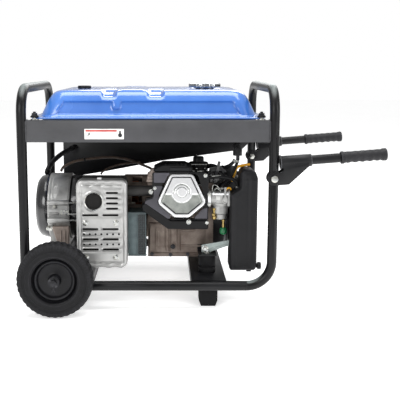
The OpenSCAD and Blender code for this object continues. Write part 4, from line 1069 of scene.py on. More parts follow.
def evenOutline(outline, step):
    # the same outline with points at even steps
    lengths = [math.dist(a, b) for a, b in zip(outline, outline[1:] + outline[:1])]
    count = round(sum(lengths) / step)
    out, i, run = [], 0, 0.0
    for k in range(count):
        want = k * sum(lengths) / count
        while run + lengths[i] < want:
            run += lengths[i]
            i += 1
        t = (want - run) / lengths[i]
        a, b = outline[i], outline[(i + 1) % len(outline)]
        out.append((a[0] + (b[0] - a[0]) * t, a[1] + (b[1] - a[1]) * t))
    return out


def rockerRelief(x, y, d):
    lift = rocker["height"] + roundedRim(d, 4)
    lift -= 3.2 * ramp(d, 7.0, 8.0) * (1 - ramp(d, 10, 11.2))  # groove inside the rim
    r = math.hypot(x - rocker["boss"][0], y - rocker["boss"][1])
    low = ramp(r, 28, 30.5) * (1 - ramp(y, 0, 5)) * ramp(d, 10.5, 12)
    lift -= 3.4 * low  # crescent recess
    lift += 1.8 * (1 - ramp(r, 12.5, 14.5))  # boss
    arc = 1 - ramp(abs(r - 22), 1.2, 2.4)
    lift -= 1.8 * arc * ramp(y, 4, 8)
    return lift


shape = bmesh.new()
outline = evenOutline(hullOutline(rocker["circles"]), 3.0)


def rockerLook(x, y):
    # polished faces, satin crescent, and the groove inside the rim: painted shade in black along
    # its top and bottom, satin elsewhere
    d = edgeDistance((x, y), outline)
    r = math.hypot(x - rocker["boss"][0], y - rocker["boss"][1])
    if 7.6 < d < 10.6:
        return 2 if y > 6 or y < -22 else 1
    inCrescent = r > 29.5 and y < 2.5 and d > 10.6
    inArc = 20.4 < r < 23.6 and y > 6
    return 1 if inCrescent or inArc or 13.6 < r < 15.4 else 0


addPressing(shape, outline, [], rocker["spacing"], rockerRelief, 0, onCylinder(205),
    rings=(0.35, 1.1, 2.2, 4, 7, 7.7, 8.6, 9.6, 10.6, 11.6), pick=rockerLook)
makePiece("rocker_cover", shape, [rocker["look"], "satinAluminium", "blackInkAndPaintedShade"],
    replaces=["valve_cover"], sharp=50)

shape = bmesh.new()  # gasket lip under the cover
addPrism(shape, evenOutline(hullOutline(rocker["circles"], 1.2), 3.0), -1.6, 1.0, onCylinder(205))
makePiece("rocker_gasket", shape, "mouldedRubber", sharp=40)
shape = bmesh.new()  # the cover's bolt
addHexHead(shape, onCylinder(221.4) @ Matrix.Translation(Vector((0, 9, -4))), 9.6, 5.2)
makePiece("rocker_bolt", shape, "zincPlate", sharp=30)
print("rocker cover made")


# head shroud: black panel, slate plates, skirt, ribbed hood and the fasteners

shroud = dict(
    face=-175.6,
    panel=[(10, 371), (160, 371), (167, 364), (167, 235), (62, 235), (-8, 284), (-12, 292),
        (-4, 299), (10, 301)],
    opening=[(48, 367), (136, 367), (162, 287), (130, 239), (54, 239), (22, 287)],
    plates=[
        [(14, 342), (14, 370), (62, 370), (52, 360), (44, 342)],
        [(14, 333), (40, 333), (28, 304), (29, 284), (61, 250), (61, 240), (36, 240), (-11, 277),
            (-11, 288), (-2, 294), (10, 297), (14, 304)],
        [(124, 240), (164, 240), (164, 272), (150, 268)],
    ],
    skirt=[(-20, 277), (-16, 262), (54, 210), (167, 210), (167, 235), (62, 235), (-8, 284)],
)
shape = bmesh.new()
addPressing(shape, roundCorners(shroud["panel"], 5), [roundCorners(shroud["opening"], 14)[::-1]],
    (5, 5), lambda x, y, d: roundedRim(d, 2.5), -5.0, at((0, shroud["face"], 0), "front"),
    punch=5.0, rings=(0.4, 1.2, 2.5))
makePiece("shroud_panel", shape, "blackNylon", replaces=["head_shroud"], sharp=50)

shape = bmesh.new()
for plate in shroud["plates"]:
    addPrism(shape, roundCorners(plate, 3), -1, 1.6, at((0, shroud["face"], 0), "front"), 0, 0.8)
makePiece("shroud_plates", shape, "slateEnamel", sharp=30)

shape = bmesh.new()
addPrism(shape, roundCorners(shroud["skirt"], 4), 143, 178.4, at((0, 0, 0), "front"), 0, 2.2)
hood = roundCorners([(14, 371), (122, 371), (122, 384), (100, 392), (40, 392), (14, 380)], 5)
addPrism(shape, hood, 84, 170, at((0, 0, 0), "front"), 0, 3)
for k in range(9):  # cooling ribs on the hood
    x = 24 + k * 11
    addBlock(shape, (x, -168, 372), (x + 3.4, -96, 393.4 if 36 < x < 102 else 386))
addBlock(shape, (60, -174, 376), (112, -166, 384))
makePiece("shroud_skirt_and_hood", shape, "blackNylon", roundMm=0.8)

shape = bmesh.new()
for x, y, z, r in ((112, -178.4, 231, 5.2), (163, -178.4, 229, 3.8), (17, -177.4, 327, 3.8),
        (7, -172, 316, 5.4), (158, -175.4, 362, 4.2)):
    addTurned(shape, [(r * 1.3, 0), (r * 1.3, 1)], at((x, y, z), "front"), 24)
    addPanHead(shape, at((x, y - 1, z), "front"), r, r * 0.7)
makePiece("shroud_screws", shape, "zincPlate", sharp=30)

shape = bmesh.new()  # cast lug of the cylinder behind the panel's upper left corner
lug = roundCorners([(-8, 338), (16, 338), (20, 352), (18, 378), (8, 376), (-2, 362)], 5)
addPrism(shape, lug, 118, 150, at((0, 0, 0), "front"), 0, 3)
for z in (346, 354, 362):
    addBlock(shape, (-4, -152, z), (18, -120, z + 2.4))
makePiece("cylinder_lug", shape, "paleCastAlloy", roundMm=1.0)
print("shroud made")


# crankcase front: cast ribs, sump flange and studs

casting = dict(
    face=-109,
    ribs=((1.4, 2.6), (20, 2.2), (33, 1.6), (48, 2.6), (53.7, 1.6), (59.4, 2.6), (83.7, 2.2),
        (89.3, 2.2)),
    studs=((8, 121), (62, 119), (112, 121), (158, 130)),
)


def castingRelief(x, z, d):
    lift = roundedRim(d, 9)
    lift -= 12 * ramp(x, 140, 184) ** 2
    for rib, height in casting["ribs"]:
        lift += height * math.exp(-((x - rib) / 1.7) ** 2) * ramp(z, 126, 131) * (
            1 - ramp(z, 196, 203))
    lift -= 2.2 * ramp(x, 62, 65) * (1 - ramp(x, 78, 81)) * ramp(z, 150, 154) * (
        1 - ramp(z, 192, 196))
    lift -= 1.8 * ramp(x, 23, 25) * (1 - ramp(x, 44, 46)) * ramp(z, 140, 144) * (
        1 - ramp(z, 188, 192))
    if x > 91:
        lift += 3.2 * ramp(z, 141, 143) * (1 - ramp(z, 146, 149)) * ramp(x, 91, 95)
        lift += 2.6 * ramp(z, 187, 189) * (1 - ramp(z, 193, 196)) * (1 - ramp(x, 128, 136))
    lift += 3.4 * (1 - ramp(z, 123, 126)) * ramp(d, 1, 3)
    return lift


shape = bmesh.new()
outline = evenOutline(roundCorners([(-4, 124), (20, 114), (150, 114), (179, 134), (179, 216),
    (-4, 216)], [6, 8, 16, 20, 4, 4]), 3)
addPressing(shape, outline, [], (2.2, 2.6), castingRelief, -10, at((0, casting["face"], 0),
    "front"), rings=(0.6, 1.8, 3.6, 6.5))
makePiece("crankcase_ribs", shape, "brownCastAlloy", sharp=46)

shape = bmesh.new()
for x, z in casting["studs"]:
    addHexHead(shape, at((x, casting["face"] - 3, z), "front"), 9, 5)
addTurned(shape, [(7, 0), (7, 3), (5, 3.6), (5, 9), (3.4, 9.8)], at((69, casting["face"], 143),
    "front"), 24)
addHexHead(shape, at((160, -113, 134), "front"), 14, 6)
makePiece("crankcase_screws", shape, "blackenedSteel", sharp=30)
print("crankcase made")


# cooling duct: sheet box with a mesh grille on its outer half

def meshRelief(x, z, d):
    # expanded-metal diamonds, 5 mm apart
    weave = math.cos((x + z) * math.pi / 5) * math.cos((x - z) * math.pi / 5)
    return 0.9 * weave * ramp(d, 2, 4)


shape = bmesh.new()
outline = evenOutline(roundCorners([(-31, 134), (-10, 134), (-10, 251), (-31, 251)], 3), 3)
# the grille's openings are not cut through; black painted shade marks them
addPressing(shape, outline, [], (1.5, 1.5), meshRelief, -1.5, at((0, -166.9, 0), "front"),
    rings=(0.5, 2), pick=lambda x, z: 1 if math.cos((x + z) * math.pi / 5)
    * math.cos((x - z) * math.pi / 5) < -0.1 else 0)
makePiece("duct_grille", shape, ["tealEnamel", "paintedShadeBlack"], sharp=60)
shape = bmesh.new()
for low, high in (((-59, -168, 251.6), (-7, -160, 256)), ((-35, -168.6, 133), (-32, -165, 252)),
        ((-59, -168, 130), (-7, -160, 133.4)), ((-58.8, -168, 134), (-56.4, -160, 251))):
    addBlock(shape, low, high)
makePiece("duct_folds", shape, "tealEnamel", roundMm=0.8)


# carburettor: alloy body, bright flanges, float bowl, brass fittings and green strainer

carb = dict(centre=(202, -149.3), throat=295)
cx, cy = carb["centre"]
shape = bmesh.new()
addTurned(shape, [(12, 234), (15.6, 235), (17.4, 238), (17.6, 249.6), (21, 251), (22.8, 253),
    (23, 268), (22.2, 269.4), (22.2, 275), (24.6, 276), (24.8, 282), (23.4, 283.6), (23, 288),
    (23.6, 294), (23.8, 306.4)], at((cx, cy, 0)), 56)
addTurned(shape, [(17, 150.4), (17, 166), (19, 170), (19.4, 176), (20.4, 182), (20.4, 224),
    (21, 227.8)], at((0, cy, carb["throat"]), "right"), 44)
plate = roundCorners(rectangle(23, 24), 8)
addPrism(shape, plate, 166.5, 173, at((0, cy, carb["throat"]), "right"), 0, 0.8)
addPrism(shape, plate, 221, 227.6, at((0, cy, carb["throat"]), "right"), 0, 0.8)
addTurned(shape, [(9, 0), (9, 5), (8, 6.4), (5, 6.4), (4.6, 4.4), (0.4, 4.4)],
    at((213, cy - 20.6, 291), "front"), 28)
addBlock(shape, (188, cy - 24.4, 292), (200, cy - 18, 304))
makePiece("carburettor_body", shape, "castAluminium", replaces=["carburettor"],
    roundMm=0.6)
shape = bmesh.new()
top = roundCorners([(176, cy - 24), (228, cy - 24), (228, cy + 22), (176, cy + 22)], 6)
addPrism(shape, top, 306.4, 312.4, at((0, 0, 0)), 0, 1.2)
addBlock(shape, (165.6, cy - 25, 276), (173.6, cy - 17, 313))
makePiece("carburettor_top", shape, "polishedAluminium", roundMm=1.0)
shape = bmesh.new()
for x, y in ((182, cy - 18), (222, cy - 18), (182, cy + 16), (222, cy + 16)):
    addPanHead(shape, at((x, y, 312.4)), 4.4, 3)
for z in (281, 308):
    addHexHead(shape, at((169.6, cy - 25, z), "front"), 8, 4)
makePiece("carburettor_screws", shape, "zincPlate", sharp=30)
shape = bmesh.new()
addTurned(shape, [(4.6, 236), (6.4, 237), (6.6, 244), (4.6, 246), (4.4, 262), (6, 263), (6, 268)],
    at((184, cy - 14, 0)), 24)
addPanHead(shape, at((182, cy - 20, 250), "front"), 4.6, 4)
addTurned(shape, [(4.2, 206), (4.2, 228), (6.4, 229), (6.4, 233), (5, 234.6)],
    at((211, cy - 6, 0)), 24)
makePiece("carburettor_brass", shape, "turnedBrass", sharp=34)
shape = bmesh.new()
addTurned(shape, [(1, 189.6), (5, 190.4), (8.6, 193), (10.4, 197), (10.6, 204), (9.4, 208),
    (7, 210.4), (4.4, 211)], at((211, cy - 6, 0)), 36)
makePiece("fuel_strainer_cup", shape, "greenAbs", sharp=50)
shape = bmesh.new()  # throttle spring and its wires above the carburettor
coil = [(184 + 14 * t / 60, cy - 16 + 2.6 * math.cos(t * 0.9), 320 + 2.6 * math.sin(t * 0.9)
    + 5 * math.sin(t / 60 * math.pi)) for t in range(61)]
addTube(shape, coil, 0.7, 8)
addTube(shape, smoothPath([(178, cy - 14, 313), (179, cy - 16, 330), (186, cy - 16, 334),
    (199, cy - 15, 324), (202, cy - 14, 313)]), 1.1, 8)
addTube(shape, smoothPath([(166, -140, 352), (180, -146, 356), (204, -144, 358)]), 1.4, 8)
makePiece("throttle_wires", shape, "zincPlate", sharp=60)
print("carburettor made")


# air cleaner: two mouldings, clamp knob and lower tab

cleaner = dict(
    outline=[(228, 93), (298, 93), (304, 104), (304, 356), (298, 372), (286, 380), (264, 380),
        (256, 372), (256, 328), (228, 309)],
    rounding=[6, 6, 10, 16, 12, 10, 10, 8, 10, 6],
    split=-172, front=-190,
)


def cleanerRelief(x, z, d):
    lift = roundedRim(d, 9)
    lift += 1.3 * ramp(d, 11, 13)  # raised panel
    lift += 1.2 * math.exp(-((x - 285) / 3.2) ** 2) * ramp(z, 112, 120) * (1 - ramp(z, 352, 362))
    lift -= 1.0 * math.exp(-((x - 277) / 2.6) ** 2) * ramp(z, 112, 120) * (1 - ramp(z, 352, 362))
    if z > 330:
        lift += 1.4 * math.exp(-((z - 350) / 3.5) ** 2) * ramp(d, 3, 8)
    return lift


outline = evenOutline(roundCorners(cleaner["outline"], cleaner["rounding"]), 3)
shape = bmesh.new()
addPressing(shape, outline, [], (2.4, 4), cleanerRelief,
    -(cleaner["split"] - cleaner["front"]), at((0, cleaner["front"], 0), "front"),
    rings=(0.5, 1.5, 3, 5, 7.5, 10, 12, 14))
makePiece("cleaner_front", shape, "mouldedPolypropylene",
    replaces=["air_cleaner_cover"], sharp=50)
shape = bmesh.new()
lip = insetOutline(outline, -0.6)
seam = insetOutline(outline, 1.0)
addRings(shape, [[(x, y, 114) for x, y in insetOutline(outline, 4)],
    [(x, y, 118) for x, y in outline], [(x, y, 166) for x, y in outline],
    [(x, y, 166.6) for x, y in lip], [(x, y, 171) for x, y in lip],
    [(x, y, 171.2) for x, y in seam]], at((0, 0, 0), "front"))
addBlock(shape, (276, -180, 88), (289, -168, 94))
makePiece("cleaner_back", shape, "mouldedPolypropylene",
    replaces=["air_cleaner_case"], roundMm=0.5)
shape = bmesh.new()
rings = []
for r, h in ((6.4, -1), (6.4, 1.2), (9.4, 2), (10, 3), (10, 10.4), (9.2, 11.8), (3, 12.2)):
    flute = 0.5 if r > 9.6 else 0.0
    rings.append([(*polar(r + flute * math.cos(12 * a), a), h) for a in fullTurn(48)])
addRings(shape, rings, at((304, -181, 106), "right"))
makePiece("cleaner_knob", shape, "blackNylon", sharp=40)
print("air cleaner made")


# engine's feet and the air cleaner's stay

shape = bmesh.new()
for y0, y1 in ((-176, -105), (135, 186)):
    addBlock(shape, (140, y0, 131.2), (192, y1, 135.6))
addBlock(shape, (140, -110, 131.2), (178, -105.4, 150))
addBlock(shape, (167, 135, 131.2), (192, 140, 176))
makePiece("engine_feet", shape, "blackPowderCoat",
    replaces=["engine_brackets"], roundMm=0.8)
shape = bmesh.new()
stay = roundCorners([(150, 135.8), (170, 135.8), (227.5, 156), (227.5, 172), (150, 158)], 3)
addPrism(shape, stay, 147, 151, at((0, 0, 0), "front"), 0, 0.5)
addPrism(shape, [(160, 140), (226, 159), (226, 162), (160, 144)], 150, 153,
    at((0, 0, 0), "front"), 0, 0.5)
addBlock(shape, (224.4, -153, 155), (227.6, -118, 173))
makePiece("cleaner_stay", shape, "greyZinc", roundMm=0.6)
shape = bmesh.new()
addTurned(shape, [(9.5, 0), (9.5, 1.8), (8.6, 2.2)], at((160, -151, 148), "front"), 28)
addHexHead(shape, at((160, -153, 148), "front"), 11, 6)
for y in (-150, 160):
    addTurned(shape, [(11, 0), (11, 1.8), (10, 2.2)], at((166, y, 135.6)), 28)
    addHexHead(shape, at((166, y, 137.6)), 14, 8)
makePiece("foot_bolts", shape, "zincPlate", sharp=30)
print("brackets made")


# alternator: cast rear bracket with its window, ledge, plate and bolts

bracket = dict(
    x=(-299.6, -236.4), turn=(-58, 67),  # along the shaft, and degrees up from the front
    radius=100.4, wall=9,
)


def windowShare(s, a):
    # distance from the middle line of the teardrop window, as a share of its half width,
    # which is greatest near its top
    wide = 2 + 9 * ramp(a, 17, 40) * (1 - ramp(a, 42, 49))
    return abs(s - 22 - (a - 30) * 0.12) / wide


def bracketRelief(x, a):
    # radius of the casting at a place along the shaft and a turn from the front, degrees up
    r = bracket["radius"]
    s = x + 300
    r -= 3.0 * (1 - ramp(s, 0, 5)) + 2.0 * ramp(s, 60, 63)
    r += 2.4 * math.exp(-((a + 3) / 1.6) ** 2) * (1 - ramp(s, 30, 34))
    r -= 2.2 * math.exp(-((a - 1.4) / 1.8) ** 2) * (1 - ramp(s, 34, 38))
    r -= 4.4 * ramp(s, 40, 42) * ramp(-a, 5, 8) * (1 - ramp(-a, 17, 20))
    r += 2.2 * math.exp(-((a + 19) / 1.8) ** 2)
    r -= 2.0 * ramp(s, 23, 25) * ramp(-a, 20, 22) * (1 - ramp(-a, 38, 42))
    r -= 1.6 * math.exp(-((s - 11) / 1.8) ** 2) * ramp(a, 12, 18)
    if 15 < a < 50:
        r -= 7 * (1 - ramp(windowShare(s, a), 0.45, 0.75))
    boss = math.hypot((s - 21.5), (a - 9) * 1.75)
    r += 3.4 * (1 - ramp(boss, 5.5, 7.5))
    return r


def bracketLook(x, a):
    # as cast, painted shade inside the window, and browned where it is warmest
    s = x + 300
    if 16 < a < 49 and windowShare(s, a) < 0.55:
        return 1
    if s > 24 and 21 < -a < 40:
        return 2
    return 0


shape = bmesh.new()
rows = []
angles = range(bracket["turn"][0], bracket["turn"][1] + 1)
stations = [bracket["x"][0] + (bracket["x"][1] - bracket["x"][0]) * k / 50 for k in range(51)]
for a in angles:
    t = math.radians(a)
    row = []
    for x in stations:
        r = bracketRelief(x, a)
        row.append(shape.verts.new((x, crankLine[0] - r * math.cos(t),
            crankLine[1] + r * math.sin(t))))
    rows.append(row)
for i in range(len(angles) - 1):
    for j in range(len(stations) - 1):
        face = shape.faces.new((rows[i][j], rows[i][j + 1], rows[i + 1][j + 1], rows[i + 1][j]))
        face.material_index = bracketLook((stations[j] + stations[j + 1]) / 2, angles[i] + 0.5)
inner = {}
for edge in [e for e in shape.edges if e.is_boundary]:  # the casting's thickness
    pair = []
    for v in edge.verts:
        if v not in inner:
            toAxis = Vector((0, crankLine[0] - v.co.y, crankLine[1] - v.co.z)).normalized()
            inner[v] = shape.verts.new(v.co + toAxis * bracket["wall"])
        pair.append(inner[v])
    shape.faces.new((edge.verts[0], edge.verts[1], pair[1], pair[0]))
makePiece("bracket_casting", shape, ["castAluminium", "paintedShadeBlack", "paleCastAlloy"],
    sharp=50)


def aroundShaft(x, angle, radius):
    # a place on the alternator facing outwards, by its turn up from the front
    t = math.radians(angle)
    out = Vector((0, -math.cos(t), math.sin(t)))
    turn = Matrix(((1, 0, 0), tuple(out.cross(Vector((1, 0, 0)))), tuple(out))).transposed()
    return Matrix.Translation(Vector((x, *crankLine)) + out * radius) @ turn.to_4x4()


shape = bmesh.new()
addHexHead(shape, aroundShaft(-278.5, 9, 102.6), 9.4, 6)
addPrism(shape, roundCorners(rectangle(13, 7), 1.5), 0, 2.4,
    aroundShaft(-249, -1, 100.6), 0, 0.5)
addBlock(shape, (-240, -84, 232), (-200, -80.5, 235.4))
for x, angle in ((-299, -30), (-291, -33), (-287, -27)):
    addHexHead(shape, aroundShaft(x, angle, 99), 10, 8)
addTube(shape, [(-304, -66, 188), (-296, -68, 186), (-286, -70, 185)], 6, 12)
makePiece("bracket_bolts", shape, "zincPlate", sharp=30)
shape = bmesh.new()
foot = roundCorners([(-288, 196), (-236, 196), (-238, 140), (-270, 140)], 3)
addPrism(shape, foot, 56, 84, at((0, 0, 0), "front"), 0, 2)
for x in (-262, -250):
    addBlock(shape, (x, -87, 142), (x + 3, -80, 184))
makePiece("bracket_foot", shape, "paleCastAlloy", roundMm=1.0)
print("alternator made")


# hoses and wires along their routes

wiring = dict(
    conduit=[(-318, 40, 336), (-316, 52, 348), (-306, 76, 366), (-284, 112, 386),
        (-262, 140, 397), (-250, 160, 403), (-248, 177, 404)],
    loom=[(-272, 24, 346), (-262, 34, 360), (-226, 46, 374), (-176, 54, 381), (-124, 60, 384),
        (-70, 54, 378), (-24, 46, 362), (2, 38, 352), (12, 34, 343), (13, 34, 331)],
    lead=[(-150, 18, 336.4), (-141, 21, 347), (-118, 28, 358), (-84, 36, 366), (-30, 46, 371)],
)
shape = bmesh.new()
addTube(shape, smoothPath(wiring["conduit"], 16), lambda t: 7.4 + 0.7 * math.sin(t * 320), 20)
makePiece("panel_conduit", shape, "hoseRubber", replaces=["wiring_harness"],
    sharp=70)
shape = bmesh.new()
addTube(shape, smoothPath(wiring["loom"], 10), 4, 12)
addTube(shape, smoothPath(wiring["lead"], 10), 2.8, 12)
makePiece("engine_loom", shape, "brownSheath", sharp=70)
shape = bmesh.new()
for route, share in (("conduit", 0.3), ("conduit", 0.72), ("loom", 0.28), ("loom", 0.62)):
    path = smoothPath(wiring[route], 12)
    k = int(share * len(path))
    r = 9 if route == "conduit" else 5
    ahead = (path[k + 1] - path[k]).normalized() * 3
    addTube(shape, [path[k] - ahead, path[k] + ahead], r, 20)
makePiece("cable_ties", shape, "blackNylon", roundMm=0.4)

fuelPath = [(252, -120, 400), (250, -122, 388), (240, -128, 366), (226, -138, 344),
    (209, -148, 329), (207, -149, 317.5)]
breatherPath = [(140, -128, 322), (148, -138, 340), (166, -142, 350), (196, -142, 354),
    (226, -142, 350), (244, -142, 343), (250, -142, 332), (250, -142, 317)]
pumpPath = [(160, -56, 372), (182, -64, 376), (208, -86, 372), (230, -112, 382), (246, -118, 398)]
shape = bmesh.new()
addTube(shape, smoothPath(fuelPath, 8), 4.4, 14)
addTube(shape, smoothPath(breatherPath, 8), 5.4, 16)
addTube(shape, smoothPath(pumpPath, 8), 5, 14)
addTube(shape, smoothPath([(172, -70, 352), (192, -92, 362), (216, -104, 350), (236, -112, 330)],
    8), 6, 14)
makePiece("engine_hoses", shape, "hoseRubber", replaces=["rubber_hoses"], sharp=70)
shape = bmesh.new()
sleeve = smoothPath([(236, -124, 338), (243, -124, 356), (250, -122, 376), (262, -120, 382),
    (288, -118, 386)], 8)
addTube(shape, sleeve, 3.8, 16)
addTube(shape, smoothPath([(218, -160, 318), (221, -163, 324), (227, -163, 325),
    (231, -160, 320)], 6), 2.4, 12)
makePiece("yellow_sleeving", shape, "yellowSleeve", sharp=70)
shape = bmesh.new()
for path, share, r in ((fuelPath, 0.12, 5.6), (fuelPath, 0.9, 5.6), (breatherPath, 0.08, 6.6),
        (breatherPath, 0.92, 6.6), (pumpPath, 0.06, 6.2), (pumpPath, 0.95, 6.2)):
    route = smoothPath(path, 12)
    k = min(int(share * len(route)), len(route) - 2)
    ahead = (route[k + 1] - route[k]).normalized() * 2.6
    addTube(shape, [route[k] - ahead, route[k] + ahead], r, 24)
    addTube(shape, [route[k] + Vector((-4, -r - 0.6, 0)), route[k] + Vector((4, -r - 0.6, 0))],
        1.8, 12)
makePiece("hose_clips", shape, "zincPlate", sharp=40)
print("hoses made")


# fuel pump stack and governor bracket

pump = dict(x=144, y=-56)
pump["screws"] = [(pump["x"] + 25.4 * math.cos(a), pump["y"] + 25.4 * math.sin(a)) for a in
    [math.radians(60 * k + 15) for k in range(6)]]
shape = bmesh.new()
addTurned(shape, [(19, 330.2), (20, 332), (20, 346), (24, 350), (26, 353), (26, 359), (24, 360),
    (24, 363), (26.4, 364), (26.4, 372), (28.6, 374), (29, 378), (29, 382), (27, 384.6), (17, 385),
    (16, 388), (16, 397), (13.6, 401)], at((pump["x"], pump["y"], 0)), 48)
addTurned(shape, [(5, 22), (5, 40), (6, 41), (6, 43.6), (4.6, 45)],
    at((pump["x"], pump["y"], 370), "right"), 20)
for x, y in pump["screws"]:
    addTurned(shape, [(4, 348), (4, 366), (3.2, 368)], at((x, y, 0)), 14)
makePiece("pump_stack", shape, "blackNylon", replaces=["fuel_pump"],
    roundMm=0.4, sharp=40)
shape = bmesh.new()
addTurned(shape, [(27, 359.4), (27, 362.6)], at((pump["x"], pump["y"], 0)), 48)
for x, y in pump["screws"]:
    addPanHead(shape, at((x, y, 368)), 3.2, 2.2)
addTube(shape, [(120, -84, 381), (168, -84, 381)], 2, 10)
makePiece("pump_screws", shape, "zincPlate", sharp=34)
shape = bmesh.new()
governor = roundCorners([(166, 352), (176, 374), (206, 378), (224, 362), (220, 336), (196, 322),
    (170, 322)], 6)
addPressing(shape, evenOutline(governor, 3), [circleOutline(5, 16, (188, 350)),
    circleOutline(3.4, 14, (208, 362))], (4, 4), lambda x, z, d: 1.2 * ramp(d, 3, 6), -3,
    at((0, -98, 0), "front"), rings=(1, 3, 6))
addPrism(shape, roundCorners([(184, 330), (192, 330), (206, 392), (198, 394)], 3), 104, 108,
    at((0, 0, 0), "front"), 0, 0.6)
addTurned(shape, [(7, 0), (7, 3), (5, 5), (5, 9), (3, 10)], at((188, -98, 350), "front"), 24)
makePiece("governor_bracket", shape, "blackEnamel", sharp=40)
print("pump made")


# tank top: fuel cap and gauge

capPlace, gaugePlace = at((*tank["cap"], 602.8)), at((*tank["gauge"], 599.6))
shape = bmesh.new()
rings = []
for r, h in ((38.4, 0.4), (44.8, 0.4), (45.6, 1.2), (45.9, 3), (45.9, 9), (45, 10.6), (42.6, 11.8),
        (33, 12), (32, 11), (30.4, 10.6), (12, 10.6), (10.8, 12), (3, 12.2)):
    flute = 0.9 if 44 < r and 1 < h < 10.6 else 0.0
    rings.append([(*polar(r - flute * (0.5 + 0.5 * math.cos(30 * a)), a), h)
        for a in fullTurn(180)])
addRings(shape, rings, capPlace)
rib = rectangle(29, 3.4)
for turn in (20, 110):  # finger bars across the top
    addPrism(shape, roundCorners(rib, 2), 10.4, 12.3,
        capPlace @ Matrix.Rotation(math.radians(turn), 4, "Z"), 0, 0.6)
makePiece("cap_pressing", shape, "chromePlate", "fuel_cap", ["fuel_cap"], sharp=34)

shape = bmesh.new()
addTurned(shape, [(17, -0.6), (19, 0), (19.4, 2), (19, 6.6), (17.8, 8), (15.4, 8), (14.8, 6.8),
    (14.8, 3.4), (0.4, 3.4)], gaugePlace, 56, 0)
addTurned(shape, [(14.6, 3.4), (14.6, 3.9), (0.4, 3.9)], gaugePlace, 40, 1)
for k in range(7):  # dial marks and the pointer
    turn = Matrix.Rotation(math.radians(-60 + 20 * k), 4, "Z")
    addPrism(shape, [(-0.5, 10), (0.5, 10), (0.5, 13), (-0.5, 13)], 3.9, 4.2,
        gaugePlace @ turn, 2)
addPrism(shape, [(-0.9, -3), (0.9, -3), (0.3, 11), (-0.3, 11)], 4.2, 4.8,
    gaugePlace @ Matrix.Rotation(math.radians(-24), 4, "Z"), 3)
makePiece("gauge_dial", shape, ["blackNylon", "whiteVinyl", "blackInkAndPaintedShade", "redVinyl"],
    replaces=["fuel_gauge"], sharp=34)
print("tank top made")


# control panel, on the rear side

panel = dict(
    face=255, row=416,  # its outer face, and the height of the row of outlets
    duplex=(-20, 55), twist=(130, 195), stud=(-60, 380),
    # place of each screw, and the printed frames as low X, high X, low Z, high Z
    screws=((-276, 453), (276, 453), (276, 400), (-276, 309), (0, 453), (-150, 331), (30, 366)),
    frames=((-46, 84, 376, 456), (98, 224, 384, 448), (-134, -86, 388, 444)),
)
shape = bmesh.new()
for x in panel["duplex"]:  # outlets: two faces each, with blade slots and an earth hole as patches of painted shade
    for z in (panel["row"] - 16, panel["row"] + 16):
        place = at((x, 257, z), "rear")
        body = roundCorners(rectangle(14, 12.5), 8)
        addPrism(shape, body, -2, 1.8, place, 0, 0.5)
        for sx, tall in ((-5.6, 7), (5.6, 8.6)):
            addPrism(shape, [(sx - 1, 1 - tall / 2), (sx + 1, 1 - tall / 2), (sx + 1, 1 + tall / 2),
                (sx - 1, 1 + tall / 2)], 1.6, 2, place, 1)
        addPrism(shape, circleOutline(2.3, 16, (0, -7)), 1.6, 2, place, 1)
    addPanHead(shape, at((x, 257, panel["row"]), "rear"), 3, 1.6, 2)
for x in panel["twist"]:  # twist outlets: a collar and four curved slots as patches of painted shade
    place = at((x, 258, panel["row"]), "rear")
    addTurned(shape, [(25.4, -3), (25.6, 0.6), (24, 2), (19.6, 2), (18.8, 0.8), (18.8, -0.6),
        (0.4, -0.6)], place, 48, 0)
    for k in range(4):
        start = math.pi / 2 * k + 0.25
        arc = [start + 0.9 * j / 8 for j in range(9)]
        slot = [polar(13.6, a) for a in arc] + [polar(11, a) for a in arc[::-1]]
        addPrism(shape, slot, -0.8, -0.3, place, 1)
makePiece("outlet_faces", shape, ["greyAbs", "paintedShadeBlack", "zincPlate"],
    sharp=34)

shape = bmesh.new()  # meter: bezel, dial, marks and pointer
place = at((-225, 258, 395), "rear")
addTurned(shape, [(32.4, -3), (32.6, 1), (31, 3), (28.6, 3), (27.6, 1.4), (27.4, 0.2), (0.4, 0.2)],
    place, 64, 0)
addTurned(shape, [(27.2, 0.2), (27.2, 0.5), (0.4, 0.5)], place, 48, 1)
for k in range(11):
    turn = Matrix.Rotation(math.radians(-50 + 10 * k), 4, "Z")
    deep = 5.5 if k % 5 == 0 else 3.4
    addPrism(shape, [(-0.5, 24 - deep), (0.5, 24 - deep), (0.5, 24), (-0.5, 24)], 0.5, 0.8,
        place @ turn, 2)
addPrism(shape, [(-0.8, -4), (0.8, -4), (0.3, 20), (-0.3, 20)], 0.8, 1.3,
    place @ Matrix.Rotation(math.radians(12), 4, "Z"), 3)
addTurned(shape, [(3.4, 0.5), (3.4, 2), (2.4, 2.6)], place, 20, 0)
makePiece("meter_dial", shape, ["blackNylon", "whiteVinyl", "blackInkAndPaintedShade", "redVinyl"],
    sharp=34)

shape = bmesh.new()  # switch surround and breaker nut
outer = roundCorners(rectangle(18, 24), 4)
place = at((-110, panel["face"], panel["row"]), "rear")
inner = roundCorners(rectangle(15.2, 20.2), 1.5)
rows = [[(x, y, h) for x, y in loop] for loop, h in ((inner, -1), (outer, -1), (outer, 1.6),
    (insetOutline(outer, 0.8), 2.4), (insetOutline(inner, -0.8), 2.4), (inner, 1.8), (inner, -1))]
addRings(shape, rows, place, 0, (False, False))
addTurned(shape, [(6.2, 0), (9.6, 0), (9.8, 1.4), (8.6, 2.6), (6.4, 2.6), (6.2, 0)],
    at((250, panel["face"], panel["row"]), "rear"), 40, 0, (False, False))
bmesh.ops.remove_doubles(shape, verts=shape.verts, dist=0.01)
makePiece("switch_surround", shape, "blackNylon", sharp=34)
shape = bmesh.new()  # the face's screws, and the earth stud with its wing nut
for x, z in panel["screws"]:
    addPanHead(shape, at((x, panel["face"], z), "rear"), 4, 2.4)
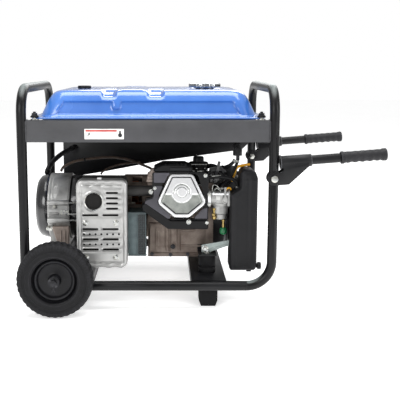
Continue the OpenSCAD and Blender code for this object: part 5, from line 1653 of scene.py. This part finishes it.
studPlace = at((panel["stud"][0], panel["face"], panel["stud"][1]), "rear")
addTurned(shape, [(4, 0), (4, 12), (3.2, 12.8)], studPlace, 20)
addHexHead(shape, studPlace, 13, 4)
wing = roundCorners([(-14, 1), (-9, 9), (-4, 3), (4, 3), (9, 9), (14, 1), (5, -3), (-5, -3)], 1.2)
addPrism(shape, wing, 5, 8, studPlace, 0, 0.6)
makePiece("panel_screws", shape, "zincPlate", sharp=34)
shape = bmesh.new()  # printed frames round the groups of outlets
for x0, x1, z0, z1 in panel["frames"]:
    for low, high in (((x0, z0), (x1, z0 + 1)), ((x0, z1 - 1), (x1, z1)),
            ((x0, z0), (x0 + 1, z1)), ((x1 - 1, z0), (x1, z1))):
        addBlock(shape, (low[0], 254.9, low[1]), (high[0], 255.2, high[1]))
makePiece("panel_print", shape, "whiteVinyl")
print("control panel made")


# starter side: rope, ribbed boss, screws and the blower's seam

shape = bmesh.new()
rings = []
for k in range(81):  # three strands, twisted
    strand = [polar(2.5 + 0.25 * math.cos(3 * a + k * 0.8), a) for a in fullTurn(12)]
    rings.append([(277 + dx, 44 + 74 * k / 80, 288 + dz) for dx, dz in strand])
addRings(shape, rings)
rope = makePiece("starter_rope", shape, "starterCord", None, sharp=60)
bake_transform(rope)

shape = bmesh.new()
place = at((296, *crankLine), "right")
addTurned(shape, [(50, -1), (50, 1.6), (48, 2.4), (34, 2.4), (32, 1.4), (0.4, 1.4)], place, 72)
for k in range(8):
    turn = Matrix.Rotation(math.pi / 4 * k, 4, "Z")
    addPrism(shape, roundCorners([(12, -1.6), (30, -1.6), (30, 1.6), (12, 1.6)], 1), 1.2, 2.6,
        place @ turn, 0, 0.4)
addTurned(shape, [(91.6, -1), (91.6, 0.8), (90, 1.4), (88, 1.4), (87.4, 0)], place, 96, 0,
    (False, False))
makePiece("starter_boss", shape, "blackNylon", sharp=34)
shape = bmesh.new()
for count, first, circle, size, height in ((3, 30, 104, 10, 5), (6, 0, 114, 8, 4)):
    for k in range(count):
        turn = Matrix.Rotation(math.radians(first + 360 / count * k), 4, "Z")
        addHexHead(shape, at((258.2, *crankLine), "right") @ turn @ Matrix.Translation(
            Vector((circle, 0, 0))), size, height)
addHexHead(shape, at((297.6, *crankLine), "right"), 12, 5)
makePiece("starter_screws", shape, "zincPlate", sharp=34)
shape = bmesh.new()
addTurned(shape, [(122, -3), (123.6, -2.4), (123.6, 2.4), (122, 3)], at((222, *crankLine),
    "right"), 120, 0, (False, False))
makePiece("blower_seam", shape, "blackEnamel", sharp=50)
print("starter side made")


# crankcase rear: ribbed side cover with its round inspection plate and flange screws

rearCover = dict(
    face=136, round=(-84, 246), reach=54,
    screws=((8, 130), (64, 130), (120, 130), (8, 190), (8, 250), (12, 312), (86, 315),
        (160, 312), (166, 250), (166, 191)),
)


def rearRelief(x, z, d):
    # flange, crossing ribs, and a raised disc with a groove round it
    lift = 4.5 * ramp(d, 8, 13)
    r = math.hypot(x - rearCover["round"][0], z - rearCover["round"][1])
    inside = 1 - ramp(r, rearCover["reach"] - 1, rearCover["reach"] + 2)
    ribs = max(math.exp(-((x + c) / 2.2) ** 2) for c in (40, 84, 128))
    ribs = max(ribs, max(math.exp(-((z - c) / 2.2) ** 2) for c in (160, 204, 288)))
    lift += 3.4 * ribs * (1 - inside) * ramp(d, 6, 10)
    lift += 5 * inside - 1.8 * (1 - ramp(abs(r - 44), 1.6, 3))
    return lift - 1.6 * (1 - ramp(d, 0, 1.6))


shape = bmesh.new()
outline = evenOutline(roundCorners([(-172, 322), (-172, 184), (-128, 184), (-128, 124),
    (-2, 124), (-2, 322)], [20, 6, 8, 14, 14, 20]), 3.5)
addPressing(shape, outline, [], (3, 3), rearRelief, -2, at((0, rearCover["face"], 0), "rear"),
    rings=(0.6, 1.6, 4, 7, 8, 10.5, 13))
makePiece("crankcase_rear_cover", shape, "brownCastAlloy", sharp=46)
shape = bmesh.new()
for x, z in rearCover["screws"]:
    addHexHead(shape, at((x, rearCover["face"], z), "rear"), 10, 6)
for k in range(5):
    turn = 2 * math.pi * k / 5 + 0.3
    addHexHead(shape, at((84 + 49 * math.cos(turn), rearCover["face"] + 9,
        246 + 49 * math.sin(turn)), "rear"), 8, 4.4)
makePiece("rear_cover_screws", shape, "zincPlate", sharp=30)
print("crankcase rear made")
